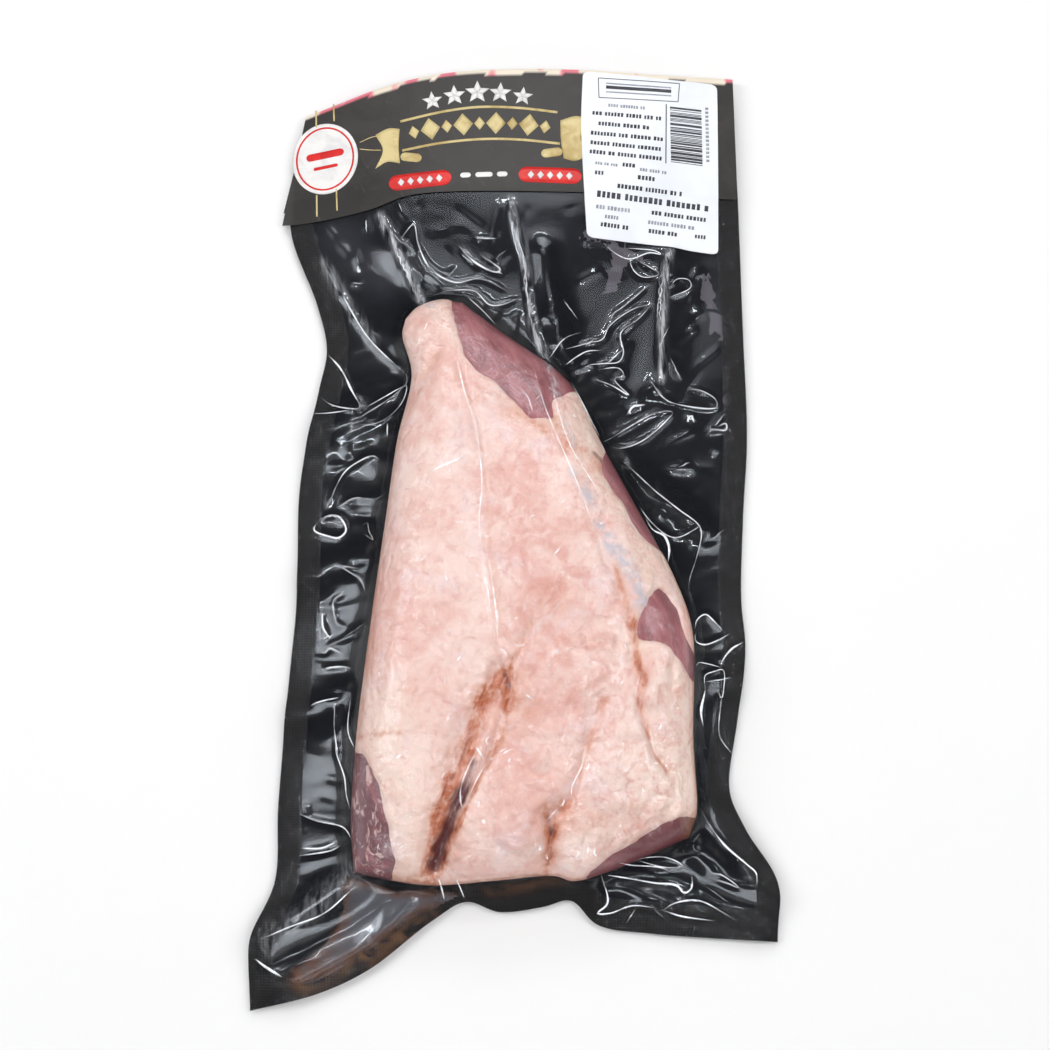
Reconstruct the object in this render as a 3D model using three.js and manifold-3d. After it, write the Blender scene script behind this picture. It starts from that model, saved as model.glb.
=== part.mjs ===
// A vacuum pack of raw beef, lying with its fat side up.
// Millimetres, +Z up, +Y towards the folded header band, +X to the right.
// The origin is on the table, under the middle of the pack.
import * as THREE from 'three';
import Module from 'manifold-3d';

const wasm = await Module();
wasm.setup();

// ---- driving dimensions -------------------------------------------------

const FILM = 1.2;              // thickness of the pouch wall as a solid
const GAP = 0.35;              // clearance between pieces that touch
const RIM = 11.0;              // height at which the pouch meets the beef's side
const BOWL = 17.0;             // width over which the pouch rises under the beef
const EDGE = 2.6;              // height of the pouch's sealed edge
const MARGIN_SAG = 1.5;        // how fast the margin falls from the beef to the edge
const BEEF_SIDE = 1.5;         // height of the beef's side above the pouch
const BEEF_ROUND = 22.0;       // width of the rounding round the beef's top
const FAT_THICK = 6.5;         // thickness of the fat cap
const HEADER_THICK = 0.8;      // thickness of the folded header band
const HEADER_LIFT = 6.5;       // how far the band's middle stands above its ends
const HEADER_FOOT = 128.0;     // no folds of the film reach past this line
const HEADER_RISE = [98, 148]; // the stretch of y over which that lift grows
const HEADER_MIDDLE = 14.0;    // the x at which the band stands highest
const HEADER_REACH = 112.0;    // how far to each side of it the lift goes
const FOLD_START = 8.0;        // the folds grow over this width from the beef
const FOLD_FADE = 14.0;        // and fade over this length before the band
const BACK_SHORTER = 7.0;      // the band's back panel is this much shorter
const LABEL_THICK = 0.6;       // thickness of the price label
const LABEL_STEP = [14, 4];    // the label climbs onto the band over this stretch before its foot
const BEEF_MIDDLE = [4, -30];  // the point that the oversize cutting space grows from
const OVERSIZE = 1.12;         // how much larger that space is than the beef
const HIGH = 80.0;             // above everything
const DEEP = -20.0;            // below everything

// Beef thickness from the near end (0) to the tip (1).
const CROWN_NEAR = 30.0;
const CROWN_LOW = 37.5;
const CROWN_MIDDLE = 35.5;
const CROWN_TIP = 24.0;
const SIDE_FALL = 5.0;         // the right half is this much thinner at its side
const SIDE_STRETCH = [10, 75]; // the stretch of x over which it gets thinner
const BEEF_NEAR_END = -154.0;
const BEEF_TIP = 94.0;

const POUCH_CELLS = [28, 50];
const BEEF_CELLS = [22, 30];
const FAT_BED_CELLS = [16, 22];
const BAND_CELLS = 26;
const BAND_FRONT_STEPS = 6;
const BAND_FOLD_STEPS = 4;
const LABEL_CELLS = [8, 10];

// ---- outlines -----------------------------------------------------------

// Each outline is four sides: left and right run away from the viewer,
// near and far run from left to right.
const POUCH = {
  left: [[-106, -203.4], [-106.6, -176], [-97.5, -152], [-97, -122], [-94, -70], [-91.6, -36],
    [-91.5, 14], [-84.5, 56], [-81.5, 74], [-86, 94], [-98.5, 128], [-98, 152], [-89.5, 182]],
  right: [[107, -176.4], [107, -152], [95, -131.6], [89, -116], [93, -86], [97, -57],
    [95.8, -36], [97.5, 0], [100, 34], [99.5, 80], [98.5, 140], [96.5, 196.5]],
  near: [[-106, -203.4], [-78, -196.4], [-58, -187], [-33, -168], [-19.4, -160.5],
    [-6, -164.5], [12, -162.5], [23.3, -160], [34, -169.6], [55, -173], [107, -176.4]],
  far: [[-89.5, 182], [-80, 184.5], [-56.8, 192.8], [-31.5, 198], [-6, 199.6],
    [30, 199.2], [64.7, 197.4], [96.5, 196.5]],
};
const BEEF = {
  left: [[-64.5, -149], [-66.2, -128], [-64.5, -93.8], [-60.3, -54.6], [-54, -4],
    [-49.6, 30.7], [-43.8, 60], [-48.1, 78], [-46.8, 84.5]],
  right: [[71, -135], [74.2, -126], [73.4, -96], [73.9, -50], [67, -28.6], [50, 4.7],
    [36.3, 30.7], [23.8, 56.3], [-6, 79.5], [-22.5, 92.4]],
  near: [[-64.5, -149], [-49.7, -152], [-33.6, -154], [-8, -152.2], [16.7, -150.3],
    [24, -152.3], [40, -148], [71, -135]],
  far: [[-46.8, 84.5], [-42, 89.8], [-32, 93.4], [-22.5, 92.4]],
};
const BAND = {
  left: [[-102.3, 131], [-101.9, 149], [-97.5, 167], [-93.3, 183]],
  right: [[98.2, 142], [98.2, 160], [98, 180], [97.4, 200]],
  near: [[-102.3, 131], [-90, 131.8], [-63.4, 136.4], [-49, 141.4], [-38, 143.1],
    [33, 143.1], [98.2, 142]],
  far: [[-93.3, 183], [-80, 188], [-56.8, 196.5], [-31.5, 201.7], [-6, 203.3],
    [30, 202.9], [64.7, 201], [97.4, 200]],
};
const LABEL = {
  left: [[31.6, 123.4], [30.2, 150], [29.4, 176.6], [30.4, 201.2]],
  right: [[89.3, 117], [89.6, 143], [90, 170], [90.2, 195.7]],
  near: [[31.6, 123.4], [50, 121.4], [70, 119.1], [89.3, 117]],
  far: [[30.4, 201.2], [50, 199.6], [70, 197.6], [90.2, 195.7]],
};

// The edge of the fat cap, anticlockwise. Where it runs past the beef's own
// outline the fat reaches the side; elsewhere the lean shows beyond it.
const FAT_EDGE = [[-48, -165], [-49, -140], [-52, -126], [-58, -113], [-66, -104], [-80, -100],
  [-72, -20], [-62, 50], [-66, 100], [-40, 108], [-27, 96], [-23.5, 80], [-16, 67],
  [-8, 56], [0, 46.5], [8, 39], [16, 38.5], [21.5, 46], [24, 60], [44, 42],
  [37, 16], [46, 0], [55.5, -15], [74, -24], [72, -37], [61, -35.5], [53, -47], [52, -55],
  [62, -57], [72, -66], [90, -68], [90, -124], [63, -129.5], [38, -144.5], [24, -156],
  [8, -166]];

// ---- folds, grooves and lumps -------------------------------------------

// Folds of the film: a path, a height and a half width.
const FOLDS = [
  { path: [[-62, -152], [-80, -163], [-101, -176]], height: 6.5, width: 8 },
  { path: [[-38, -160], [-62, -180], [-92, -195]], height: 5.0, width: 7 },
  { path: [[72, -139], [88, -151], [105, -158]], height: 6.0, width: 7 },
  { path: [[40, -154], [66, -163], [98, -171]], height: 4.0, width: 6 },
  { path: [[88, -126], [96, -140], [101, -150]], height: 3.5, width: 6 },
  { path: [[-56, 124], [-46, 110], [-35, 96]], height: 3.0, width: 6 },
  { path: [[11, 124], [16, 92], [22, 62]], height: 4.0, width: 6 },
  { path: [[68, 120], [65, 74], [60, 57]], height: 2.6, width: 6 },
  { path: [[47, 20], [62, 10], [79, -6]], height: 3.0, width: 6 },
  { path: [[-68, 42], [-78, 40], [-88, 36]], height: 3.0, width: 8 },
  { path: [[-62, -20], [-76, -22], [-90, -28]], height: 2.6, width: 8 },
  { path: [[-70, -78], [-82, -84], [-95, -86]], height: 3.0, width: 8 },
  { path: [[76, -76], [84, -74], [95, -72]], height: 2.4, width: 8 },
];

// Grooves in the fat: a path, a depth and a half width.
const GROOVES = [
  { path: [[-5, -73], [-14, -91], [-23, -113], [-28, -135], [-33, -152]], height: 9, width: 6 },
  { path: [[36, -81], [27, -116], [16, -130], [14, -144]], height: 5.0, width: 5 },
  { path: [[35, -11], [46, -48], [50, -80], [62, -109]], height: 2.8, width: 5 },
  { path: [[-24.5, 60], [-18, 34], [-13.8, -3], [-9.5, -44], [-4, -71]], height: 1.8, width: 7 },
];

// Full places in the fat: a centre, a height and a radius.
const LUMPS = [
  { at: [-44, -118], height: 2.2, radius: 22 },
  { at: [-4, -126], height: 2.5, radius: 16 },
  { at: [40, -118], height: 2.2, radius: 20 },
  { at: [8, -30], height: 1.8, radius: 26 },
];

// ---- curves and distances -----------------------------------------------

/** Smooth curve through the points, as a function of the share of its length. */
function curveThrough(points) {
  const nodes = points.map(([x, y]) => new THREE.Vector3(x, y, 0));
  const curve = new THREE.CatmullRomCurve3(nodes, false, 'centripetal');
  return (share) => curve.getPointAt(Math.min(Math.max(share, 0), 1));
}

/** Function that carries the unit square onto a four-sided outline. */
function patch(sides) {
  const left = curveThrough(sides.left);
  const right = curveThrough(sides.right);
  const near = curveThrough(sides.near);
  const far = curveThrough(sides.far);
  const corner = {
    leftNear: left(0), rightNear: right(0), leftFar: left(1), rightFar: right(1),
  };
  return (u, v) => {
    const across = left(v).multiplyScalar(1 - u).add(right(v).multiplyScalar(u));
    const along = near(u).multiplyScalar(1 - v).add(far(u).multiplyScalar(v));
    const flat = corner.leftNear.clone().multiplyScalar((1 - u) * (1 - v))
      .add(corner.rightNear.clone().multiplyScalar(u * (1 - v)))
      .add(corner.leftFar.clone().multiplyScalar((1 - u) * v))
      .add(corner.rightFar.clone().multiplyScalar(u * v));
    return across.add(along).sub(flat);
  };
}

/** Closed run of points round a four-sided outline, anticlockwise. */
function ringOf(sides, steps) {
  const place = patch(sides);
  const ring = [];
  for (let i = 0; i < steps; i += 1) ring.push(place(i / steps, 0));
  for (let i = 0; i < steps; i += 1) ring.push(place(1, i / steps));
  for (let i = 0; i < steps; i += 1) ring.push(place(1 - i / steps, 1));
  for (let i = 0; i < steps; i += 1) ring.push(place(0, 1 - i / steps));
  return ring;
}

/** Distance from (x, y) to the stretch from a to b. */
function distanceToStretch(x, y, ax, ay, bx, by) {
  const length2 = (bx - ax) ** 2 + (by - ay) ** 2;
  const share = ((x - ax) * (bx - ax) + (y - ay) * (by - ay)) / length2;
  const near = Math.min(Math.max(share, 0), 1);
  return Math.hypot(x - ax - near * (bx - ax), y - ay - near * (by - ay));
}

/** Distance from (x, y) to a path of straight stretches. */
function distanceToPath(x, y, path) {
  let least = Infinity;
  for (let i = 0; i + 1 < path.length; i += 1) {
    const [ax, ay] = path[i];
    const [bx, by] = path[i + 1];
    least = Math.min(least, distanceToStretch(x, y, ax, ay, bx, by));
  }
  return least;
}

/** Depth of (x, y) inside a ring: positive inside, negative outside. */
function depthInside(x, y, ring) {
  let least = Infinity;
  let inside = false;
  for (let i = 0; i < ring.length; i += 1) {
    const a = ring[i];
    const b = ring[(i + 1) % ring.length];
    least = Math.min(least, distanceToStretch(x, y, a.x, a.y, b.x, b.y));
    const crosses = (a.y > y) !== (b.y > y);
    if (crosses && x < a.x + ((y - a.y) * (b.x - a.x)) / (b.y - a.y)) inside = !inside;
  }
  return inside ? least : -least;
}

/** Smooth step from 0 at `from` to 1 at `to`. */
function ease(value, from, to) {
  const share = Math.min(Math.max((value - from) / (to - from), 0), 1);
  return share * share * (3 - 2 * share);
}

/** Sum of the ridges at (x, y). */
function ridges(x, y, list) {
  let sum = 0;
  for (const { path, height, width } of list) {
    sum += height * Math.exp(-((distanceToPath(x, y, path) / width) ** 2));
  }
  return sum;
}

// ---- the height of each surface -----------------------------------------

const RING_STEPS = 36;
const beefRing = ringOf(BEEF, RING_STEPS);
const pouchRing = ringOf(POUCH, RING_STEPS);

/** Height of the pouch's upper face. */
function pouchTop(x, y) {
  const depth = depthInside(x, y, beefRing);
  if (depth >= 0) {
    const rise = 1 - ease(depth, 0, BOWL);
    return FILM + (RIM - FILM) * rise;
  }
  const toEdge = Math.max(depthInside(x, y, pouchRing), 0);
  const share = -depth / (toEdge - depth);
  const margin = EDGE + (RIM - EDGE) * (1 - share) ** MARGIN_SAG;
  const underBand = ease(y, ...HEADER_RISE);
  const arch = Math.max(1 - ((x - HEADER_MIDDLE) / HEADER_REACH) ** 2, 0);
  const beforeBand = 1 - ease(y, HEADER_FOOT - FOLD_FADE, HEADER_FOOT);
  const foldFade = ease(-depth, 0, FOLD_START) * beforeBand;
  return margin + HEADER_LIFT * underBand * arch + foldFade * ridges(x, y, FOLDS);
}

/** Thickness of the beef along its length, with its thinner right side. */
function crown(x, y) {
  const share = Math.min(Math.max((y - BEEF_NEAR_END) / (BEEF_TIP - BEEF_NEAR_END), 0), 1);
  const heights = new THREE.SplineCurve([CROWN_NEAR, CROWN_LOW, CROWN_MIDDLE, CROWN_TIP]
    .map((height, i) => new THREE.Vector2(i / 3, height)));
  return heights.getPoint(share).y - SIDE_FALL * ease(x, ...SIDE_STRETCH);
}

/** Height of the beef's upper face, fat and lean together. */
function beefTop(x, y) {
  const depth = Math.max(depthInside(x, y, beefRing), 0);
  const share = Math.min(depth / BEEF_ROUND, 1);
  const side = RIM + BEEF_SIDE;
  const shoulder = Math.sqrt(1 - (1 - share) ** 2);
  let relief = -ridges(x, y, GROOVES);
  for (const { at, height, radius } of LUMPS) {
    relief += height * Math.exp(-(((x - at[0]) ** 2 + (y - at[1]) ** 2) / radius ** 2));
  }
  return side + (crown(x, y) - side + relief) * shoulder;
}

// ---- making solids ------------------------------------------------------

/** Share of the way across, drawn in towards both ends so that the edges are finer. */
function towardsEnds(share) {
  return 0.5 - 0.5 * Math.cos(Math.PI * share);
}

/** Closed solid between two faces that are grids of the same size. */
function solidBetween(columns, rows, upper, lower) {
  const points = [];
  const faces = [];
  const width = columns + 1;
  const layer = width * (rows + 1);
  for (const face of [upper, lower]) {
    for (let j = 0; j <= rows; j += 1) {
      for (let i = 0; i <= columns; i += 1) points.push(...face(i, j));
    }
  }
  for (let j = 0; j < rows; j += 1) {
    for (let i = 0; i < columns; i += 1) {
      const a = j * width + i;
      const b = a + 1;
      const c = a + width;
      const d = c + 1;
      faces.push(a, b, d, a, d, c);
      faces.push(layer + a, layer + d, layer + b, layer + a, layer + c, layer + d);
    }
  }
  const border = [];
  for (let i = 0; i < columns; i += 1) border.push(i);
  for (let j = 0; j < rows; j += 1) border.push(columns + j * width);
  for (let i = columns; i > 0; i -= 1) border.push(rows * width + i);
  for (let j = rows; j > 0; j -= 1) border.push(j * width);
  border.forEach((here, i) => {
    const next = border[(i + 1) % border.length];
    faces.push(here, layer + here, layer + next, here, layer + next, next);
  });
  const geometry = new THREE.BufferGeometry();
  geometry.setAttribute('position', new THREE.Float32BufferAttribute(points, 3));
  geometry.setIndex(faces);
  return geometry;
}

/** Solid over a patch, between two height functions of (x, y). */
function sheetSolid(sides, [columns, rows], upper, lower, spacing = (share) => share) {
  const place = patch(sides);
  const face = (height) => (i, j) => {
    const { x, y } = place(spacing(i / columns), spacing(j / rows));
    return [x, y, height(x, y)];
  };
  return solidBetween(columns, rows, face(upper), face(lower));
}

/** Solid for cutting and joining, from a closed geometry with shared points. */
function cuttable(geometry) {
  return new wasm.Manifold(new wasm.Mesh({
    numProp: 3,
    vertProperties: new Float32Array(geometry.getAttribute('position').array),
    triVerts: new Uint32Array(geometry.getIndex().array),
  }));
}

/** Geometry of a solid that has been cut or joined. */
function geometryOf(solid) {
  const mesh = solid.getMesh();
  const geometry = new THREE.BufferGeometry();
  geometry.setAttribute('position', new THREE.Float32BufferAttribute(mesh.vertProperties, 3));
  geometry.setIndex(Array.from(mesh.triVerts));
  return geometry;
}

/** Upright prism over a ring of points, from DEEP to HIGH. */
function prism(ring) {
  const flat = ring.map((point) => new THREE.Vector2(point.x, point.y));
  const count = flat.length;
  const points = [];
  const faces = [];
  for (const z of [HIGH, DEEP]) flat.forEach(({ x, y }) => points.push(x, y, z));
  for (const [a, b, c] of THREE.ShapeUtils.triangulateShape(flat, [])) {
    faces.push(a, b, c, count + a, count + c, count + b);
  }
  for (let i = 0; i < count; i += 1) {
    const next = (i + 1) % count;
    faces.push(i, count + i, count + next, i, count + next, next);
  }
  const geometry = new THREE.BufferGeometry();
  geometry.setAttribute('position', new THREE.Float32BufferAttribute(points, 3));
  geometry.setIndex(faces);
  return geometry;
}

/** Anticlockwise ring round the fat cap, pushed out by a clearance. */
function fatRing(clearance) {
  const nodes = FAT_EDGE.map(([x, y]) => new THREE.Vector3(x, y, 0)).reverse();
  const curve = new THREE.CatmullRomCurve3(nodes, true, 'centripetal');
  const steps = FAT_EDGE.length * 2;
  const ring = [];
  for (let i = 0; i < steps; i += 1) {
    const { x, y } = curve.getPoint(i / steps);
    const heading = curve.getTangent(i / steps);
    ring.push({ x: x + heading.y * clearance, y: y - heading.x * clearance });
  }
  return ring;
}

// ---- the pieces ---------------------------------------------------------

/** The pouch: black back film and clear front film as one sheet with its folds. */
function makePouch() {
  return sheetSolid(POUCH, POUCH_CELLS, pouchTop, (x, y) => pouchTop(x, y) - FILM);
}

/** The whole piece of beef, bedded in the pouch. */
function makeBeef() {
  const block = sheetSolid(BEEF, BEEF_CELLS, beefTop, () => DEEP, towardsEnds);
  const bed = sheetSolid(POUCH, POUCH_CELLS, (x, y) => pouchTop(x, y) + GAP, () => DEEP * 2);
  return cuttable(block).subtract(cuttable(bed));
}

/** A four-sided outline drawn larger about the beef's middle. */
function grown(sides) {
  const grow = ([x, y]) => [
    BEEF_MIDDLE[0] + (x - BEEF_MIDDLE[0]) * OVERSIZE,
    BEEF_MIDDLE[1] + (y - BEEF_MIDDLE[1]) * OVERSIZE,
  ];
  const growSide = ([side, points]) => [side, points.map(grow)];
  return Object.fromEntries(Object.entries(sides).map(growSide));
}

/** Space above the lean, lowered by a clearance, where the fat cap lies. */
function fatSpace(clearance) {
  const bedTop = (x, y) => beefTop(x, y) - FAT_THICK - clearance;
  const space = sheetSolid(grown(BEEF), FAT_BED_CELLS, () => HIGH, bedTop, towardsEnds);
  return cuttable(space).intersect(cuttable(prism(fatRing(clearance))));
}

/** The largest body of a cut solid, without loose scraps. */
function largest(solid) {
  const bodies = solid.decompose();
  return bodies.reduce((best, body) => (body.volume() > best.volume() ? body : best));
}

/** The header band, folded over the pouch's far edge. */
function makeBand() {
  const place = patch(BAND);
  const inner = FILM / 2 + GAP;
  const outer = inner + HEADER_THICK;
  const steps = BAND_FRONT_STEPS * 2 + BAND_FOLD_STEPS;
  const face = (reach) => (i, j) => {
    const u = i / BAND_CELLS;
    const edge = place(u, 1);
    const foldLine = edge.y - outer;
    const foot = place(u, 0);
    const middle = (x, y) => pouchTop(x, Math.min(y, foldLine)) - FILM / 2;
    if (j <= BAND_FRONT_STEPS) {
      const share = j / BAND_FRONT_STEPS;
      const x = foot.x + (edge.x - foot.x) * share;
      const y = foot.y + (foldLine - foot.y) * share;
      return [x, y, middle(x, y) + reach];
    }
    if (j < BAND_FRONT_STEPS + BAND_FOLD_STEPS) {
      const turn = Math.PI * (0.5 - (j - BAND_FRONT_STEPS) / BAND_FOLD_STEPS);
      const rise = middle(edge.x, foldLine) + reach * Math.sin(turn);
      return [edge.x, foldLine + reach * Math.cos(turn), rise];
    }
    const share = (steps - j) / BAND_FRONT_STEPS;
    const backFoot = foot.y + BACK_SHORTER;
    const x = foot.x + (edge.x - foot.x) * share;
    const y = backFoot + (foldLine - backFoot) * share;
    return [x, y, middle(x, y) - reach];
  };
  return solidBetween(BAND_CELLS, steps, face(outer), face(inner));
}

/** The price label, stuck half on the band and half on the film. */
function makeLabel() {
  const onBand = GAP + HEADER_THICK;
  const footOfBand = BAND.near[BAND.near.length - 1][1];
  const under = (x, y) => {
    const step = onBand * ease(y, footOfBand - LABEL_STEP[0], footOfBand - LABEL_STEP[1]);
    return pouchTop(x, y) + step + GAP;
  };
  return sheetSolid(LABEL, LABEL_CELLS, (x, y) => under(x, y) + LABEL_THICK, under);
}

// ---- assembly -----------------------------------------------------------

const beef = makeBeef();

const PIECES = [
  { name: 'pouch', color: 0x121315, roughness: 0.2, geometry: makePouch() },
  {
    name: 'beef_lean', color: 0x8a4049, roughness: 0.35,
    geometry: geometryOf(largest(beef.subtract(fatSpace(GAP)))),
  },
  {
    name: 'fat_cap', color: 0xefd2c6, roughness: 0.35,
    geometry: geometryOf(largest(beef.intersect(fatSpace(0)))),
  },
  { name: 'header_band', color: 0x17130f, roughness: 0.35, geometry: makeBand() },
  { name: 'price_label', color: 0xf2f4f8, roughness: 0.45, geometry: makeLabel() },
];

const pack = new THREE.Group();
const box = new THREE.Box3();
for (const { name, color, roughness, geometry } of PIECES) {
  const material = new THREE.MeshStandardMaterial({ color, roughness, metalness: 0 });
  const mesh = new THREE.Mesh(geometry, material);
  mesh.name = name;
  pack.add(mesh);
  box.expandByObject(mesh);
}

// The pack is centred over the origin, with its lowest face on the table.
const centre = box.getCenter(new THREE.Vector3());
pack.position.set(-centre.x, -centre.y, -box.min.z);
pack.updateMatrixWorld(true);

export default pack;
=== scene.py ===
"""The look of a vacuum-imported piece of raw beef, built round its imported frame.

Sizes are in millimetres in the part's own drawing, where +Y runs towards the printed band, and
become metres in the frame when a mesh is made.
"""
import logging
import math
from dataclasses import dataclass, field
from enum import Enum
from typing import Callable, Mapping, Sequence

import bpy
import numpy as np
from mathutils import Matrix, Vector


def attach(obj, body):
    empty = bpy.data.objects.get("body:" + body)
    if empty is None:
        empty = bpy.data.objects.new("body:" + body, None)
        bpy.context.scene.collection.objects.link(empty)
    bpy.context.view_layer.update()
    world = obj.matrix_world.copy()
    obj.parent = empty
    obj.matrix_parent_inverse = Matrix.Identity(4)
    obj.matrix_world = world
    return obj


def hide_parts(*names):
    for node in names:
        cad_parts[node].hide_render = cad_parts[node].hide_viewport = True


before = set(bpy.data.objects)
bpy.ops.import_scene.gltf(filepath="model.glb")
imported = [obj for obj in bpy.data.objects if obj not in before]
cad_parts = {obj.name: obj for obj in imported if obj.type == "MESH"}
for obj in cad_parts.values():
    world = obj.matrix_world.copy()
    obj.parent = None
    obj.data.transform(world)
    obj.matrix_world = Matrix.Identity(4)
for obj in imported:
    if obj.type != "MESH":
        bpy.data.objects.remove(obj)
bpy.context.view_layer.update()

LOG = logging.getLogger("beef_pack")
BODY = "root"
METRES = 0.001
DRAWING_MIDDLE = (0.417, 0.0015)

Point = tuple[float, float]
Cells = tuple[int, int]
Triple = tuple[float, float, float]
Path = Sequence[Point]
Array = np.ndarray
Skin = tuple[Array, Array]
Surface = Callable[[Array, Array], Array]
Colour = tuple[float, float, float, float]

# ---- sizes shared with the solids ----

FILM = 1.2
GAP = 0.35
RIM = 11.0
BOWL = 17.0
EDGE = 2.6
MARGIN_SAG = 1.5
BEEF_SIDE = 1.5
BEEF_ROUND = 22.0
FAT_THICK = 6.5
HEADER_THICK = 0.8
HEADER_LIFT = 6.5
HEADER_FOOT = 128.0
HEADER_RISE = (98.0, 148.0)
HEADER_MIDDLE = 14.0
HEADER_REACH = 112.0
FOLD_START = 8.0
FOLD_FADE = 14.0
BACK_SHORTER = 7.0
CROWN = (30.0, 37.5, 35.5, 24.0)
SIDE_FALL = 5.0
SIDE_STRETCH = (10.0, 75.0)
BEEF_NEAR_END = -154.0
BEEF_TIP = 94.0
RING_STEPS = 36


@dataclass(frozen=True)
class Line:
    """A fold, groove, streak or crease: its height or strength, its half width and its path."""

    strength: float
    width: float
    path: Path


def pairs(*numbers: float) -> Path:
    """Points from x and y in turn."""
    return tuple(zip(numbers[::2], numbers[1::2]))


def lines(*rows: Sequence[float]) -> tuple[Line, ...]:
    """Lines from rows of a strength, a half width, and x and y in turn."""
    return tuple(Line(row[0], row[1], pairs(*row[2:])) for row in rows)


@dataclass(frozen=True)
class Sides:
    """An outline of four sides: left and right run away from the viewer, near and far to the right."""

    left: Path
    right: Path
    near: Path
    far: Path


POUCH = Sides(
    left=pairs(-106, -203.4, -106.6, -176, -97.5, -152, -97, -122, -94, -70, -91.6, -36, -91.5, 14,
        -84.5, 56, -81.5, 74, -86, 94, -98.5, 128, -98, 152, -89.5, 182),
    right=pairs(107, -176.4, 107, -152, 95, -131.6, 89, -116, 93, -86, 97, -57, 95.8, -36, 97.5, 0,
        100, 34, 99.5, 80, 98.5, 140, 96.5, 196.5),
    near=pairs(-106, -203.4, -78, -196.4, -58, -187, -33, -168, -19.4, -160.5, -6, -164.5, 12, -162.5,
        23.3, -160, 34, -169.6, 55, -173, 107, -176.4),
    far=pairs(-89.5, 182, -80, 184.5, -56.8, 192.8, -31.5, 198, -6, 199.6, 30, 199.2, 64.7, 197.4,
        96.5, 196.5),
)
BEEF = Sides(
    left=pairs(-64.5, -149, -66.2, -128, -64.5, -93.8, -60.3, -54.6, -54, -4, -49.6, 30.7, -43.8, 60,
        -48.1, 78, -46.8, 84.5),
    right=pairs(71, -135, 74.2, -126, 73.4, -96, 73.9, -50, 67, -28.6, 50, 4.7, 36.3, 30.7, 23.8, 56.3,
        -6, 79.5, -22.5, 92.4),
    near=pairs(-64.5, -149, -49.7, -152, -33.6, -154, -8, -152.2, 16.7, -150.3, 24, -152.3, 40, -148,
        71, -135),
    far=pairs(-46.8, 84.5, -42, 89.8, -32, 93.4, -22.5, 92.4),
)
BAND = Sides(
    left=pairs(-102.3, 131, -101.9, 149, -97.5, 167, -93.3, 183),
    right=pairs(98.2, 142, 98.2, 160, 98, 180, 97.4, 200),
    near=pairs(-102.3, 131, -90, 131.8, -63.4, 136.4, -49, 141.4, -38, 143.1, 33, 143.1, 98.2, 142),
    far=pairs(-93.3, 183, -80, 188, -56.8, 196.5, -31.5, 201.7, -6, 203.3, 30, 202.9, 64.7, 201,
        97.4, 200),
)
LABEL = Sides(
    left=pairs(31.6, 123.4, 30.2, 150, 29.4, 176.6, 30.4, 201.2),
    right=pairs(89.3, 117, 89.6, 143, 90, 170, 90.2, 195.7),
    near=pairs(31.6, 123.4, 50, 121.4, 70, 119.1, 89.3, 117),
    far=pairs(30.4, 201.2, 50, 199.6, 70, 197.6, 90.2, 195.7),
)
FAT_EDGE = pairs(
    -48, -165, -48, -145, -50, -130, -55, -113, -61, -103, -80, -96, -72, -20, -62, 50,
    -66, 100, -40, 108, -28, 98, -25.5, 82, -22, 70, -16, 58, -7, 53, 0, 43, 9, 36, 15, 36, 16, 45, 24, 50,
    34, 62, 44, 42, 37, 16, 46, 0, 55.5, -15, 90, -24, 92, -56, 75, -62, 69.5, -54, 66, -44, 59, -36,
    54.5, -43, 51, -50, 51, -56.5, 56, -57.5, 61, -58, 67, -64, 73, -71, 90, -76, 90, -124, 63, -129.5,
    38, -144.5, 24, -156, 8, -166)


FOLDS = lines(
    (6.5, 8, -62, -152, -80, -163, -101, -176),
    (5, 7, -38, -160, -62, -180, -92, -195),
    (6, 7, 72, -139, 88, -151, 105, -158),
    (4, 6, 40, -154, 66, -163, 98, -171),
    (3.5, 6, 88, -126, 96, -140, 101, -150),
    (3, 6, -56, 124, -46, 110, -35, 96),
    (4, 6, 11, 124, 16, 92, 22, 62),
    (2.6, 6, 68, 120, 65, 74, 60, 57),
    (3, 6, 47, 20, 62, 10, 79, -6),
    (3, 8, -68, 42, -78, 40, -88, 36),
    (2.6, 8, -62, -20, -76, -22, -90, -28),
    (3, 8, -70, -78, -82, -84, -95, -86),
    (2.4, 8, 76, -76, 84, -74, 95, -72),
)
FIRST_GROOVE = (-5, -73, -14, -91, -23, -113, -28, -135, -33, -152)
SECOND_GROOVE = (36, -81, 27, -116, 16, -130, 14, -144)
RIGHT_STREAK = (35, -11, 46, -48, 50, -80, 62, -109)
LONG_LINE = (-24, 60, -20, 45, -15.6, 29, -12.6, 4, -11.3, -15, -7.1, -57, -3, -70)
TOP_FOLD = (-19, 45.4, -9.5, 40.7, 8.3, 33.9, 22.3, 21.1)
TIP_FOLD = (-33.3, 65.4, -35.8, 58.8, -39.8, 52.3, -43.1, 45)
THIN_FOLD = (52.3, -73.1, 49.8, -80.8, 52.8, -89.9, 55.8, -102.3, 61.7, -109.7)
MIDDLE_FOLD = (36.2, -80.8, 33.7, -89.9, 28.4, -102.3, 23.6, -120.3, 16, -127)
NEAR_FOLD = (12.9, -126.6, 15.2, -132.4, 13.6, -141.3, 12.8, -150)
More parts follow.
